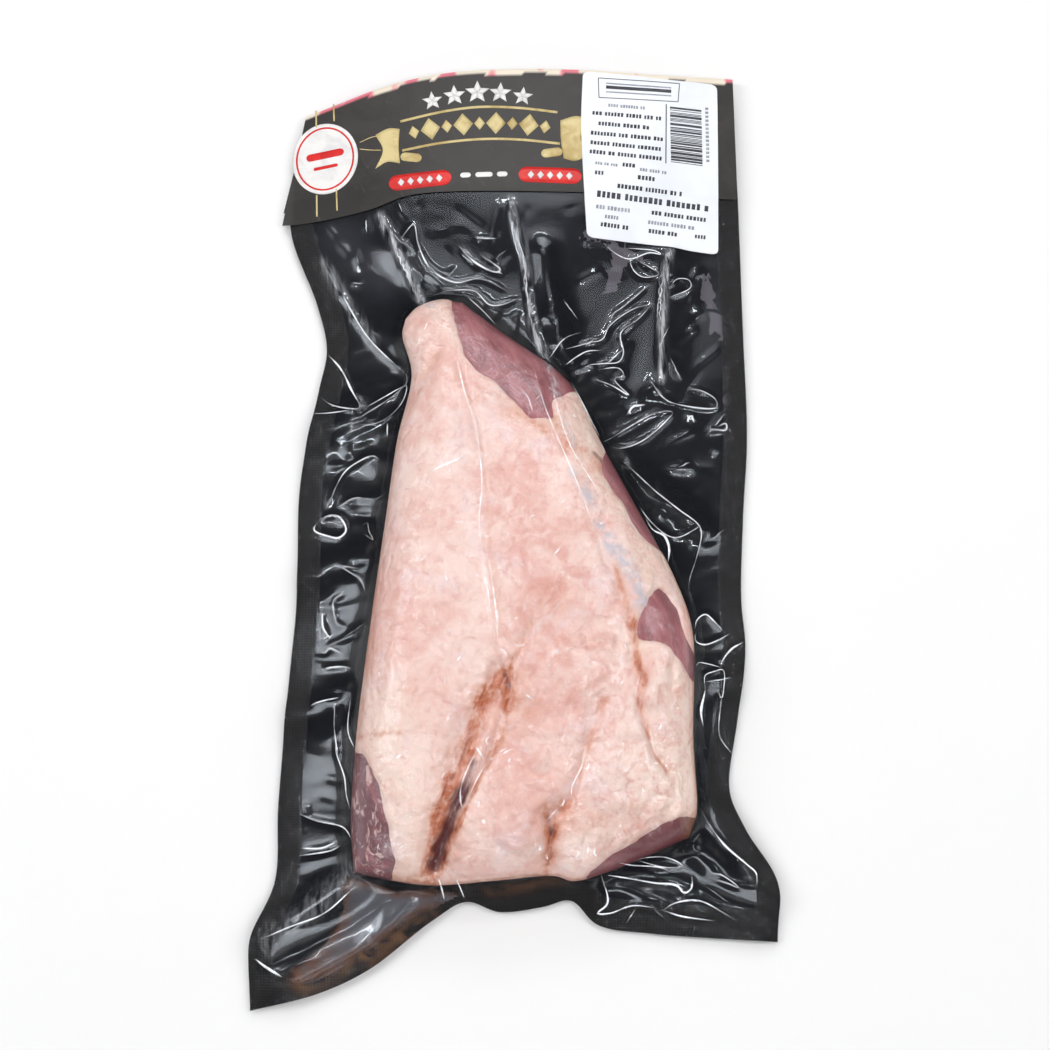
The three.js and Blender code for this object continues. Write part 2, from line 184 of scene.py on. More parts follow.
GROOVES = lines(
    (4.4, 6.5, *FIRST_GROOVE),
    (3, 2.6, -5, -80, -11, -96, -18, -113, -25, -130, -31, -148),
    (2.6, 6, *SECOND_GROOVE),
    (1.5, 1.6, *MIDDLE_FOLD),
    (2.2, 2.4, *NEAR_FOLD),
    (1.5, 4, *RIGHT_STREAK),
    (1.5, 1.6, *THIN_FOLD),
    (1.2, 6, *LONG_LINE),
    (-1.1, 1.5, *LONG_LINE),
    (1.2, 2, *TOP_FOLD),
    (-0.8, 2.2, -14, 50, 2, 43, 15, 33),
    (1.3, 2.6, *TIP_FOLD),
    (1.1, 1.8, 7.4, -51.3, 2.6, -61.4, -3, -72),
)
TORN = lines((1, 8, *FIRST_GROOVE), (0.6, 6, *MIDDLE_FOLD))
LUMPS = ((-44, -118, 2.2, 22), (-4, -126, 2.5, 16), (40, -118, 2.2, 20), (8, -30, 1.8, 26))

# ---- curves, distances and noise ----


def ease(value: Array | float, low: float, high: float) -> Array:
    """Smooth step.

    Args:
        value: what is stepped.
        low: where the step starts, at 0.
        high: where it ends, at 1.

    Returns:
        Numbers from 0 to 1.
    """
    share = np.clip((value - low) / (high - low), 0.0, 1.0)
    return share * share * (3.0 - 2.0 * share)


def bell(distance: Array, width: float) -> Array:
    """Bell curve of a distance, 1 in the middle."""
    return np.exp(-((distance / width) ** 2))


class Curve:
    """A smooth centripetal curve through points, read by the share of its length."""

    def __init__(self, points: Path, closed: bool = False, steps: int = 16) -> None:
        """Samples the curve.

        Args:
            points: where it passes.
            closed: whether it joins up.
            steps: samples between two points.
        """
        nodes = np.asarray(points, float)
        if closed:
            nodes = np.vstack([nodes[-1:], nodes, nodes[:2]])
        else:
            nodes = np.vstack([2 * nodes[:1] - nodes[1:2], nodes, 2 * nodes[-1:] - nodes[-2:-1]])
        share = np.linspace(0, 1, steps, endpoint=False)[:, None]
        runs = [self._stretch(nodes[i:i + 4], share) for i in range(len(nodes) - 3)]
        self.samples = np.vstack(runs + [nodes[-2:-1]])
        lengths = np.hypot(*np.diff(self.samples, axis=0).T)
        self.distance = np.concatenate([[0.0], np.cumsum(lengths)])
        self.length = float(self.distance[-1])

    @staticmethod
    def _stretch(four: Array, share: Array) -> Array:
        """One stretch of the curve.

        Args:
            four: the points before, at both ends of and after the stretch.
            share: shares of the stretch, as a column.

        Returns:
            Samples between the middle two points.
        """
        gaps = np.maximum(np.hypot(*np.diff(four, axis=0).T) ** 0.5, 1e-4)
        slopes = np.diff(four, axis=0) / gaps[:, None]
        wide = (four[2:] - four[:2]) / (gaps[:-1] + gaps[1:])[:, None]
        start = (slopes[0] - wide[0] + slopes[1]) * gaps[1]
        end = (slopes[1] - wide[1] + slopes[2]) * gaps[1]
        a, b = four[1], four[2]
        bend = -3 * a + 3 * b - 2 * start - end
        return a + start * share + bend * share**2 + (2 * a - 2 * b + start + end) * share**3

    def at(self, share: Array) -> Array:
        """Points at shares of the length, as rows of x and y."""
        where = np.asarray(share, float) * self.length
        return np.stack([np.interp(where, self.distance, axis) for axis in self.samples.T], -1)

    def run(self, spacing: float) -> Array:
        """Points along the curve at about a spacing."""
        return self.at(np.linspace(0, 1, max(int(self.length / spacing), 3) + 1))


def drawn(count: int, pull: float) -> Array:
    """Shares from 0 to 1 in a count of steps, drawn in towards both ends by a pull from 0 to 1."""
    share = np.linspace(0, 1, count + 1)
    return (1 - pull) * share + pull * (0.5 - 0.5 * np.cos(np.pi * share))


class Patch:
    """A four-sided outline as the image of the unit square."""

    def __init__(self, sides: Sides) -> None:
        """Makes the four side curves."""
        self.left, self.right = Curve(sides.left), Curve(sides.right)
        self.near, self.far = Curve(sides.near), Curve(sides.far)

    def place(self, u: Array, v: Array) -> Array:
        """Points of the outline's inside.

        Args:
            u: share of the way from left to right.
            v: share of the way from near to far.

        Returns:
            An array with x and y on its last axis.
        """
        across, along = u[..., None], v[..., None]
        left, right = self.left.at(v), self.right.at(v)
        near, far = self.near.at(u), self.far.at(u)
        low = self.near.at(0.0) * (1 - across) + self.near.at(1.0) * across
        high = self.far.at(0.0) * (1 - across) + self.far.at(1.0) * across
        sides = left * (1 - across) + right * across
        ends = near * (1 - along) + far * along
        return sides + ends - low * (1 - along) - high * along

    def grid(self, cells: Cells, pull: float = 0.0) -> Array:
        """A lattice of points over the outline.

        Args:
            cells: cells across and along.
            pull: how far the lines are drawn in towards the edges, from 0 to 1.

        Returns:
            An array of rows by columns of points.
        """
        return self.place(*np.meshgrid(*(drawn(count, pull) for count in cells)))

    def ring(self, steps: int = RING_STEPS) -> Array:
        """The outline as a closed ring.

        Args:
            steps: points on each side.

        Returns:
            Points round it, anticlockwise.
        """
        share = np.arange(steps) / steps
        zero, one = np.zeros(steps), np.ones(steps)
        pairs = ((share, zero), (one, share), (1 - share, one), (zero, 1 - share))
        return np.vstack([self.place(u, v) for u, v in pairs])


def nearest(x: Array, y: Array, path: Array) -> tuple[Array, Array]:
    """Distance to a path.

    Args:
        x: places across.
        y: places along.
        path: rows of points.

    Returns:
        The distance, and how far along the path its nearest point lies.
    """
    points = np.asarray(path, float)
    least, along, run = np.full(np.shape(x), np.inf), np.zeros(np.shape(x)), 0.0
    for (ax, ay), (bx, by) in zip(points[:-1], points[1:]):
        dx, dy = bx - ax, by - ay
        length = math.hypot(dx, dy) + 1e-9
        share = np.clip(((x - ax) * dx + (y - ay) * dy) / length**2, 0, 1)
        distance = np.hypot(x - ax - share * dx, y - ay - share * dy)
        closer = distance < least
        least = np.where(closer, distance, least)
        along = np.where(closer, run + share * length, along)
        run += length
    return least, along


def depth_inside(x: Array, y: Array, ring: Array) -> Array:
    """Depth inside a closed ring.

    Args:
        x: places across.
        y: places along.
        ring: rows of points.

    Returns:
        The distance to the ring, negative outside it.
    """
    closed = np.vstack([ring, ring[:1]])
    inside = np.zeros(np.shape(x), bool)
    for (ax, ay), (bx, by) in zip(closed[:-1], closed[1:]):
        if ay == by:
            continue
        crosses = (ay > y) != (by > y)
        inside ^= crosses & (x < ax + (y - ay) * (bx - ax) / (by - ay))
    return np.where(inside, 1.0, -1.0) * nearest(x, y, closed)[0]


def ridges(x: Array, y: Array, ridge_list: Sequence[Line]) -> Array:
    """Sum of bell-shaped ridges at places."""
    return sum(line.strength * bell(nearest(x, y, line.path)[0], line.width) for line in ridge_list)


class Noise:
    """Seeded smooth noise on a repeating lattice."""

    CELLS = 97

    def __init__(self, seed: int) -> None:
        """Draws the lattice."""
        self.lattice = np.random.default_rng(seed).uniform(-1, 1, (self.CELLS, self.CELLS))

    def at(self, x: Array, y: Array) -> Array:
        """Noise with cells of 1.

        Args:
            x: places across.
            y: places along.

        Returns:
            Noise from -1 to 1.
        """
        column, row = np.floor(x).astype(int), np.floor(y).astype(int)
        u, v = x - column, y - row
        u, v = u * u * (3 - 2 * u), v * v * (3 - 2 * v)
        corner = [[self.lattice[(row + j) % self.CELLS, (column + i) % self.CELLS]
                   for i in (0, 1)] for j in (0, 1)]
        low = corner[0][0] * (1 - u) + corner[0][1] * u
        high = corner[1][0] * (1 - u) + corner[1][1] * u
        return low * (1 - v) + high * v

    def layered(self, x: Array, y: Array, size: float, layers: int = 3) -> Array:
        """Noise in layers, each of half the size and half the height.

        Args:
            x: places across.
            y: places along.
            size: size of the largest cells.
            layers: how many layers.

        Returns:
            Noise from about -1 to 1.
        """
        total, weight = 0.0, 0.0
        for layer in range(layers):
            cell = size / 2**layer
            total = total + self.at(x / cell + 13.7 * layer, y / cell + 7.3 * layer) / 2**layer
            weight += 0.5**layer
        return total / weight


@dataclass
class Raster:
    """Heights on a square grid, read smoothly between its points."""

    left: float
    near: float
    step: float
    heights: Array

    def read(self, x: Array, y: Array) -> Array:
        """Reads the raster by cubic steps.

        Args:
            x: places across.
            y: places along.

        Returns:
            Heights at the places.
        """
        across, along = (x - self.left) / self.step, (y - self.near) / self.step
        column, row = np.floor(across).astype(int), np.floor(along).astype(int)
        total = 0.0
        for j, down in enumerate(self._weights(along - row)):
            line = 0.0
            rows = np.clip(row + j - 1, 0, self.heights.shape[0] - 1)
            for i, side in enumerate(self._weights(across - column)):
                columns = np.clip(column + i - 1, 0, self.heights.shape[1] - 1)
                line = line + side * self.heights[rows, columns]
            total = total + down * line
        return total

    @staticmethod
    def _weights(t: Array) -> list[Array]:
        """Weights of the four grid points round a place."""
        square, cube = t * t, t * t * t
        return [(1 - 3 * t + 3 * square - cube) / 6, (4 - 6 * square + 3 * cube) / 6,
                (1 + 3 * t + 3 * square - 3 * cube) / 6, cube / 6]

# ---- the film's creases, each also drawn as a painted highlight line: how bright its line is, its width, and its path ----

UPPER_CREASES = lines(
    (0.8, 0.6, -82, 113, -72, 93, -63, 78, -47, 61),
    (0.6, 0.9, -81, 72, -75, 65, -70, 55, -65, 46),
    (0.7, 0.5, -89, 45, -79, 45, -65, 46),
    (0.8, 0.6, -84, 53, -79, 49, -69, 46, -65, 46),
    (0.6, 0.5, -63, 47, -52, 53, -46, 56, -46, 60),
    (0.6, 0.5, -66, 42, -52, 51, -46, 55, -47, 49, -52, 43, -60, 39, -66, 39),
    (0.9, 0.7, -54, 39, -54, 33),
    (0.8, 0.6, -50, 122, -44, 129, -42, 120, -36, 108, -26, 102, -15, 104, -2, 98),
    (0.6, 0.5, -29, 98, -17, 98, -11, 92, -6, 92, 3, 96),
    (0.6, 0.5, -20, 95, -13, 88, -8, 82),
    (1, 0.9, -24, 119, -20, 114, -15, 110, -8, 107, -6, 108, -15, 115),
    (0.8, 0.7, -18, 123, -13, 122, -8, 122),
    (0.7, 0.5, 15, 67, 22, 76, 29, 80),
    (0.6, 0.5, 22, 64, 31, 71, 37, 72),
    (0.8, 0.6, 39, 121, 43, 117, 50, 114, 59, 117, 64, 116, 61, 118, 48, 119),
    (0.8, 0.6, 50, 114, 52, 109, 56, 106, 63, 107, 61, 109, 53, 114),
    (0.7, 0.5, 59, 103, 47, 92, 43, 89, 41, 84),
    (0.8, 0.6, 60, 94, 51, 91, 41, 83, 38, 77, 32, 75, 22, 71),
    (0.7, 0.5, 60, 94, 54, 87, 46, 80, 47, 71, 45, 67, 33, 65, 24, 60),
    (0.8, 0.6, 36, 63, 45, 64, 47, 61, 43, 59, 49, 52, 42, 56, 33, 59),
    (0.8, 0.6, 67, 100, 71, 105, 76, 105, 77, 102, 67, 96),
    (0.6, 0.5, 58, 59, 63, 52, 69, 49, 87, 48, 87, 51, 81, 55, 73, 56),
)
MIDDLE_CREASES = lines(
    (0.8, 0.6, -79, 3, -76, 12, -72, 19, -66, 23, -60, 25, -57, 23),
    (0.5, 0.4, -75, 3, -68, 7, -58, 6, -54, 8),
    (1, 1, -83, -2, -78, 0, -74, -1, -71, -7, -74, -10, -79, -9, -85, -6, -83, -2),
    (1, 0.8, -64, -5, -62, -4, -61, -8, -59, -12, -63, -9),
    (0.8, 0.6, -65, -24, -72, -23, -68, -26, -64, -29, -62, -34),
    (0.9, 0.6, -70, -34, -75, -36, -76, -38, -75, -44, -74, -47, -69, -49),
    (0.7, 0.6, -78, -42, -80, -42, -80, -48, -78, -52, -82, -53),
    (0.7, 0.6, -82, -57, -79, -59, -77, -57, -71, -60),
    (1, 0.8, -81, -66, -76, -65, -71, -65, -67, -66),
    (0.7, 0.6, 38, 30, 51, 39, 62, 45, 68, 45, 65, 41, 55, 32, 46, 28, 41, 28),
    (1, 1.4, 48, 43, 51, 47, 56, 48),
    (0.7, 0.6, 46, 22, 50, 18, 61, 8, 70, 1, 78, -5, 79, -9, 77, -18, 73, -31, 74, -38),
    (0.7, 0.5, 52, 3, 56, -3, 65, -10, 70, -10, 79, -5),
    (1, 1, 55, -3, 58, -8, 63, -10, 65, -15, 64, -23),
    (0.8, 0.6, 82, 35, 85, 38, 91, 38, 91, 41, 87, 39),
    (1, 1.1, 74, 41, 76, 44, 77, 41),
    (0.6, 0.6, 24, 56, 31, 42, 36, 32),
    (1, 0.9, 75, -52, 75, -55, 79, -56, 88, -52, 91, -50),
    (0.7, 0.6, 75, -50, 76, -46, 80, -43, 84, -46, 88, -50),
    (0.9, 0.8, 96, -54, 91, -57, 87, -62, 86, -65),
)
LOWER_CREASES = lines(
    (1, 0.7, -84, -81, -82, -80, -78, -79, -72, -78),
    (0.8, 0.6, -75, -80, -74, -82, -74, -90, -72, -103),
    (0.7, 0.7, -67, -78, -68, -92, -65, -99),
    (0.8, 0.6, -73, -95, -73, -100, -69, -111, -68, -118, -66, -124),
    (0.8, 0.7, -88, -125, -81, -128, -69, -131, -65, -136),
    (0.8, 0.7, -87, -139, -78, -139, -71, -136),
    (0.8, 0.7, -87, -142, -74, -140, -70, -138),
    (0.6, 0.7, -101, -175, -89, -170, -76, -165, -64, -155),
    (0.6, 1, -104, -183, -100, -186, -93, -190),
    (0.8, 0.7, -30, -151, -29, -155, -28, -160),
    (0.7, 0.6, -23, -151, -20, -159),
    (0.8, 0.6, 41, -145, 47, -146, 60, -147, 64, -149),
    (0.8, 0.6, 49, -144, 54, -143, 62, -143, 68, -146, 63, -147, 49, -144),
    (1, 0.9, 38, -150, 45, -151, 57, -153, 66, -154, 69, -157, 72, -155, 72, -149),
    (0.9, 0.8, 35, -149, 38, -161, 34, -165, 39, -165, 48, -162, 58, -163),
    (0.9, 0.7, 60, -164, 65, -161, 75, -160, 85, -165, 90, -168),
    (0.9, 0.7, 61, -164, 67, -166, 81, -168),
    (0.7, 0.5, 79, -149, 84, -150, 91, -155, 86, -153, 79, -151),
    (0.7, 0.8, 76, -124, 85, -137, 95, -146, 98, -149, 98, -154),
    (0.6, 0.5, 75, -66, 76, -64, 81, -64, 86, -65),
    (0.6, 0.5, 79, -75, 79, -69, 83, -67, 87, -66, 87, -74, 86, -78, 84, -73),
    (0.9, 1, 79, -75, 77, -84, 78, -90),
    (0.6, 0.6, 86, -78, 85, -93, 89, -99, 91, -101),
)
BEEF_CREASES = lines(
    (0.7, 0.6, -24, 74, -23, 59, -21, 49, -16, 33, -14, 20, -13, 7, -14, -8, -13, -22),
    (0.5, 0.5, 8, 60, 13, 40, 20, 22, 26, 7, 32, -10, 35, -18),
    (0.5, 0.5, 15, 55, 20, 33, 24, 22, 31, 10, 40, -4),
    (0.4, 0.8, -34, 12, -21, 18),
    (0.5, 0.5, 2, 47, 5, 46, 8, 37),
    (0.5, 0.5, -10, -24, -7, -47, -6, -60, -4, -69),
    (0.3, 0.4, -13, -24, -9, -48, -9, -62),
    (1, 0.9, -15, -100, -11, -106),
    (0.4, 0.5, -9, -98, -8, -102, -14, -112, -20, -124, -21, -117, -14, -101, -9, -98),
    (0.7, 0.5, 29, -100, 27, -108, 23, -117, 24, -123),
    (1, 0.9, 13, -129, 18, -124),
)
FILM_CREASES = UPPER_CREASES + MIDDLE_CREASES + LOWER_CREASES
GATHERS = (
    pairs(-59, 134, -54, 123, -46, 106, -40, 93, -35, 88),
    pairs(-2, 140, 1, 125, 5, 112, 6, 98, 9, 79, 13, 66, 17, 52, 21, 35, 25, 23),
    pairs(68, 118, 66, 109, 65, 98, 64, 84, 63, 59),
)

# ---- the heights of the pack ----


@dataclass(frozen=True)
class Pleat:
    """A small straight fold of the film: its middle, heading, length, height and half width."""

    x: float
    y: float
    heading: float
    length: float
    height: float
    width: float

    def ends(self) -> Array:
        """Its two ends."""
        reach = 0.5 * self.length * np.array([math.cos(self.heading), math.sin(self.heading)])
        middle = np.array([self.x, self.y])
        return np.stack([middle - reach, middle + reach])


@dataclass
class PackForm:
    """The heights of the pouch, the beef and the film over them."""

    step: float = 0.7
    reach: Point = (112.0, 210.0)
    film_gap: float = 0.35
    tight_passes: int = 70
    spanned: float = 0.7
    bridged: float = 0.35
    pleat_count: int = 150
    outward_share: float = 0.7
    raised_share: float = 0.65
    seal_width: float = 10.0
    seed: int = 7
    pleats: list[Pleat] = field(default_factory=list)

    def __post_init__(self) -> None:
        """Makes the outlines, lays the film and wrinkles it."""
        self.outlines = {name: Patch(sides) for name, sides in
                         (("pouch", POUCH), ("beef", BEEF), ("band", BAND), ("label", LABEL))}
        self.beef_ring = self.outlines["beef"].ring()
        self.pouch_ring = self.outlines["pouch"].ring()
        self.label_ring = self.outlines["label"].ring(12)
        self.fat_ring = Curve(FAT_EDGE, closed=True).run(2.0)[:-1]
        self.noises = [Noise(self.seed + i) for i in range(6)]
        across = np.arange(-self.reach[0], self.reach[0] + self.step, self.step)
        along = np.arange(-self.reach[1], self.reach[1] + self.step, self.step)
        x, y = np.meshgrid(across, along)
        depth, edge = self.depths(x, y)
        taut = self._tightened(x, y, depth, edge)
        wrinkles = self._wrinkles(x, y, depth, edge)
        outside = ease(-depth, 0.0, 6.0)
        on_beef = self._beef_wrinkles(x, y) * ease(depth, 1.0, 6.0)
        self.margin = self._raster(wrinkles * outside)
        self.film = self._raster(taut + wrinkles * outside + on_beef)

    def _raster(self, heights: Array) -> Raster:
        """Heights as a raster over the whole pack."""
        return Raster(-self.reach[0], -self.reach[1], self.step, heights)

    def depths(self, x: Array, y: Array) -> tuple[Array, Array]:
        """Depths of places inside the beef's outline and the pouch's."""
        return depth_inside(x, y, self.beef_ring), depth_inside(x, y, self.pouch_ring)

    def pouch_top(self, x: Array, y: Array, depth: Array | None = None,
                  edge: Array | None = None) -> Array:
        """Height of the back film.

        Args:
            x: places across.
            y: places along.
            depth: depth inside the beef's outline, if known.
            edge: depth inside the pouch's outline, if known.

        Returns:
            Heights without the small wrinkles.
        """
        depth = depth_inside(x, y, self.beef_ring) if depth is None else depth
        edge = depth_inside(x, y, self.pouch_ring) if edge is None else edge
        bowl = FILM + (RIM - FILM) * (1 - ease(depth, 0, BOWL))
        away = np.maximum(-depth, 0.0)
        share = away / np.maximum(np.maximum(edge, 0) + away, 1e-6)
        margin = EDGE + (RIM - EDGE) * (1 - share) ** MARGIN_SAG
        arch = np.maximum(1 - ((x - HEADER_MIDDLE) / HEADER_REACH) ** 2, 0)
        before_band = 1 - ease(y, HEADER_FOOT - FOLD_FADE, HEADER_FOOT)
        folds = ease(away, 0, FOLD_START) * before_band * ridges(x, y, FOLDS)
        return np.where(depth >= 0, bowl, margin + HEADER_LIFT * ease(y, *HEADER_RISE) * arch + folds)

    def crown(self, x: Array, y: Array) -> Array:
        """Height of the beef's middle, along its length.

        Args:
            x: places across.
            y: places along.

        Returns:
            Heights, lower towards the right.
        """
        share = np.clip((y - BEEF_NEAR_END) / (BEEF_TIP - BEEF_NEAR_END), 0, 1) * (len(CROWN) - 1)
        part = np.minimum(np.floor(share), len(CROWN) - 2).astype(int)
        t = share - part
        heights = np.array([CROWN[0], *CROWN, CROWN[-1]])
        before, a, b, after = (heights[part + i] for i in range(4))
        rise, fall = (b - before) / 2, (after - a) / 2
        height = a + rise * t + (3 * (b - a) - 2 * rise - fall) * t**2 + (2 * (a - b) + rise + fall) * t**3
        return height - SIDE_FALL * ease(x, *SIDE_STRETCH)

    def beef_top(self, x: Array, y: Array, depth: Array | None = None) -> Array:
        """Height of the beef's upper face with its small lumps.

        Args:
            x: places across.
            y: places along.
            depth: depth inside the beef's outline, if known.

        Returns:
            Heights of the fat, or of where the fat would be.
        """
        depth = depth_inside(x, y, self.beef_ring) if depth is None else depth
        share = np.clip(depth / BEEF_ROUND, 0, 1)
        side = RIM + BEEF_SIDE
        relief = -ridges(x, y, GROOVES)
        for middle_x, middle_y, height, radius in LUMPS:
            relief = relief + height * bell(np.hypot(x - middle_x, y - middle_y), radius)
        lumpy = 0.45 + 0.75 * ease(-y, 10, 90)
        relief = relief + lumpy * (0.8 * self.noises[0].layered(x, y, 17, 2)
                                   + 0.2 * self.noises[1].layered(x, y, 5.5, 2))
        lobed = 0.25 + ease(-y, 10, 75) * ease(x, -18, 4)
        bend_x, bend_y = 4 * self.noises[4].at(x / 12, y / 12), 4 * self.noises[5].at(x / 12, y / 12)
        lobes = np.abs(self.noises[2].layered(x + bend_x, (y + bend_y) * 0.8, 12, 2))
        relief = relief + 2.8 * lobed * (np.minimum(lobes, 0.5) - 0.25)
        torn = ridges(x, y, TORN)
        relief = relief + 1.7 * torn * self.noises[5].layered(x, y, 6.5, 2)
        shoulder = np.sqrt(1 - (1 - share) ** 2)
        return side + (self.crown(x, y) - side + relief) * shoulder

    def _tightened(self, x: Array, y: Array, depth: Array, edge: Array) -> Array:
        """Pulls a film tight over the pouch and the beef.

        Args:
            x: places across, on the grid.
            y: places along, on the grid.
            depth: depth inside the beef's outline.
            edge: depth inside the pouch's outline.

        Returns:
            The film's height, without wrinkles.
        """
        pouch, beef = self.pouch_top(x, y, depth, edge), self.beef_top(x, y, depth)
        low = np.where(depth > 0, np.maximum(pouch, beef), pouch) + self.film_gap
        film = low.copy()
        for _ in range(self.tight_passes):
            mean = film.copy()
            mean[1:-1, 1:-1] = 0.25 * (film[:-2, 1:-1] + film[2:, 1:-1] + film[1:-1, :-2] + film[1:-1, 2:])
            film = np.maximum(low, mean)
        loose = self.spanned + (self.bridged - self.spanned) * ease(depth, 2, 9)
        return low + (film - low) * loose * self.before_band(x, y, -4, 10)

    def before_band(self, x: Array, y: Array, low: float, high: float) -> Array:
        """A step over a stretch of the way from the band's near edge to the beef.

        Args:
            x: places across.
            y: places along.
            low: where the stretch starts, before the edge.
            high: where it ends.

        Returns:
            0 at the band and 1 past the stretch.
        """
        foot = self.outlines["band"].near.samples
        return ease(np.interp(x, foot[:, 0], foot[:, 1]) - y, low, high)

    def calm(self, x: Array, y: Array) -> Array:
        """1 on the open film, 0 where the band or the label holds it flat."""
        return self.before_band(x, y, 0, 7) * ease(-depth_inside(x, y, self.label_ring), 0, 6)

    def _wrinkles(self, x: Array, y: Array, depth: Array, edge: Array) -> Array:
        """Wrinkles of the film outside the beef.

        Args:
            x: places across, on the grid.
            y: places along, on the grid.
            depth: depth inside the beef's outline.
            edge: depth inside the pouch's outline.

        Returns:
            Heights in millimetres.
        """
        arc = nearest(x, y, np.vstack([self.beef_ring, self.beef_ring[:1]]))[1]
        away = np.maximum(-depth, 0.0)
        radial = self.noises[2].at(arc / 7.5, away / 34) + 0.5 * self.noises[3].at(arc / 3.4, away / 22)
        total = 0.55 * radial * np.exp(-away / 16) + 0.9 * self.noises[4].layered(x, y, 34, 2)
        self._draw_pleats(depth, edge, x, y)
        for pleat in self.pleats:
            self._add_crest(total, x, y, pleat.ends(), pleat.height, pleat.width)
        for crease in FILM_CREASES:
            path = Curve(crease.path).run(3.0)
            self._add_crest(total, x, y, path, 0.35 + 0.35 * crease.strength, 2.3)
        self._add_gathers(total, x, y, 1.2, 3.0)
        flat = 0.55 + 0.45 * ease(edge, 1, self.seal_width + 3)
        return total * flat * self.calm(x, y)

    def _beef_wrinkles(self, x: Array, y: Array) -> Array:
        """Wrinkles of the film over the beef.

        Args:
            x: places across, on the grid.
            y: places along, on the grid.

        Returns:
            Heights in millimetres.
        """
        crinkle = np.abs(self.noises[5].layered(x, y, 7, 2))
        patchy = ease(self.noises[3].layered(x, y, 40, 2), -0.35, 0.3)
        total = 0.12 * self.noises[1].layered(x, y, 9, 2) + 0.9 * patchy * (0.3 - crinkle).clip(0)
        for crease in BEEF_CREASES:
            self._add_crest(total, x, y, Curve(crease.path).run(3.0), 0.5, 1.6)
        self._add_gathers(total, x, y, 0.7, 2.2)
        return total

    def _add_gathers(self, total: Array, x: Array, y: Array, height: float, width: float) -> None:
        """Adds the long gathers to heights on the grid, as crests of a height and a half width."""
        for path in GATHERS:
            self._add_crest(total, x, y, Curve(path).run(4.0), height, width)

    def _add_crest(self, total: Array, x: Array, y: Array, path: Array, height: float,
                   width: float) -> None:
        """Adds a sharp crest along a path to heights on the grid.

        Args:
            total: the heights, changed in place.
            x: places across, on the grid.
            y: places along, on the grid.
            path: rows of points.
            height: height of the crest.
            width: its half width.
        """
        low, high = path.min(0) - width, path.max(0) + width
        columns = [int((v + self.reach[0]) / self.step) for v in (low[0], high[0])]
        rows = [int((v + self.reach[1]) / self.step) for v in (low[1], high[1])]
        window = (slice(max(rows[0], 0), rows[1] + 2), slice(max(columns[0], 0), columns[1] + 2))
        distance, along = nearest(x[window], y[window], path)
        length = float(np.hypot(*np.diff(path, axis=0).T).sum())
        taper = ease(np.minimum(along, length - along), -0.5, min(5.0, 0.35 * length))
        total[window] += height * np.maximum(1 - distance / width, 0) ** 1.4 * taper

    def _draw_pleats(self, depth: Array, edge: Array, x: Array, y: Array) -> None:
        """Draws the small straight folds, most of them pointing away from the beef.

        Args:
            depth: depth inside the beef's outline.
            edge: depth inside the pouch's outline.
            x: places across, on the grid.
            y: places along, on the grid.
        """
        random = np.random.default_rng(self.seed)
        rows, columns = np.nonzero((depth < -3) & (edge > 5) & (self.calm(x, y) > 0.5))
        for pick in random.integers(0, len(rows), self.pleat_count):
            row, column = rows[pick], columns[pick]
            slope = np.array(np.gradient(depth[row - 1:row + 2, column - 1:column + 2]))[:, 1, 1]
            outward = math.atan2(-slope[0], -slope[1])
            straying = random.random() >= self.outward_share
            turn = random.uniform(-1.6, 1.6) if straying else random.normal(0, 0.45)
            sign = 1 if random.random() < self.raised_share else -1
            self.pleats.append(Pleat(
                float(x[row, column]), float(y[row, column]), outward + turn,
                random.uniform(6, 24), sign * random.uniform(0.15, 0.6), random.uniform(2.0, 4.0)))

# ---- meshes ----


def lattice_faces(cells: Cells, there: Array | None = None) -> Array:
    """Four-sided faces of a lattice.

    Args:
        cells: cells across and along.
        there: which points the piece reaches, or all; a face needs its four corners.

    Returns:
        Rows of four point numbers, anticlockwise seen from above.
    """
    columns, rows = cells
    first = np.arange(rows)[:, None] * (columns + 1) + np.arange(columns)[None, :]
    if there is None:
        first = first.ravel()
    else:
        kept = there.reshape(rows + 1, columns + 1)
        first = first[kept[:-1, :-1] & kept[1:, :-1] & kept[:-1, 1:] & kept[1:, 1:]]
    return np.stack([first, first + 1, first + columns + 2, first + columns + 1], -1)


def closed_skin(upper: Array, lower: Array, faces: Array) -> Skin:
    """A closed skin between two faces that share their lattice.

    Args:
        upper: points of the upper face.
        lower: points of the lower face.
        faces: four-sided faces of the upper face.

    Returns:
        All points, and all faces.
    """
    count = len(upper)
    starts = faces.ravel()
    ends = np.roll(faces, -1, axis=1).ravel()
    border = ~np.isin(starts * count + ends, ends * count + starts)
    a, b = starts[border], ends[border]
    walls = np.stack([a, a + count, b + count, b], -1)
    return np.vstack([upper, lower]), np.vstack([faces, faces[:, ::-1] + count, walls])


def slab(x: Array, y: Array, upper: Array, lower: Array, cells: Cells, there: Array | None = None) -> Skin:
    """A closed skin between two heights over a lattice.

    Args:
        x: places across.
        y: places along.
        upper: heights of the upper face.
        lower: heights of the lower face.
        cells: the lattice's cells across and along.
        there: which places it reaches, or all.

    Returns:
        Its points and its faces.
    """
    faces = lattice_faces(cells, there)
    return closed_skin(np.column_stack([x, y, upper]), np.column_stack([x, y, lower]), faces)


def add_object(name: str, data: bpy.types.ID) -> bpy.types.Object:
    """Puts a mesh, a light or a camera in the scene under a name."""
    thing = bpy.data.objects.new(name, data)
    bpy.context.scene.collection.objects.link(thing)
    return thing


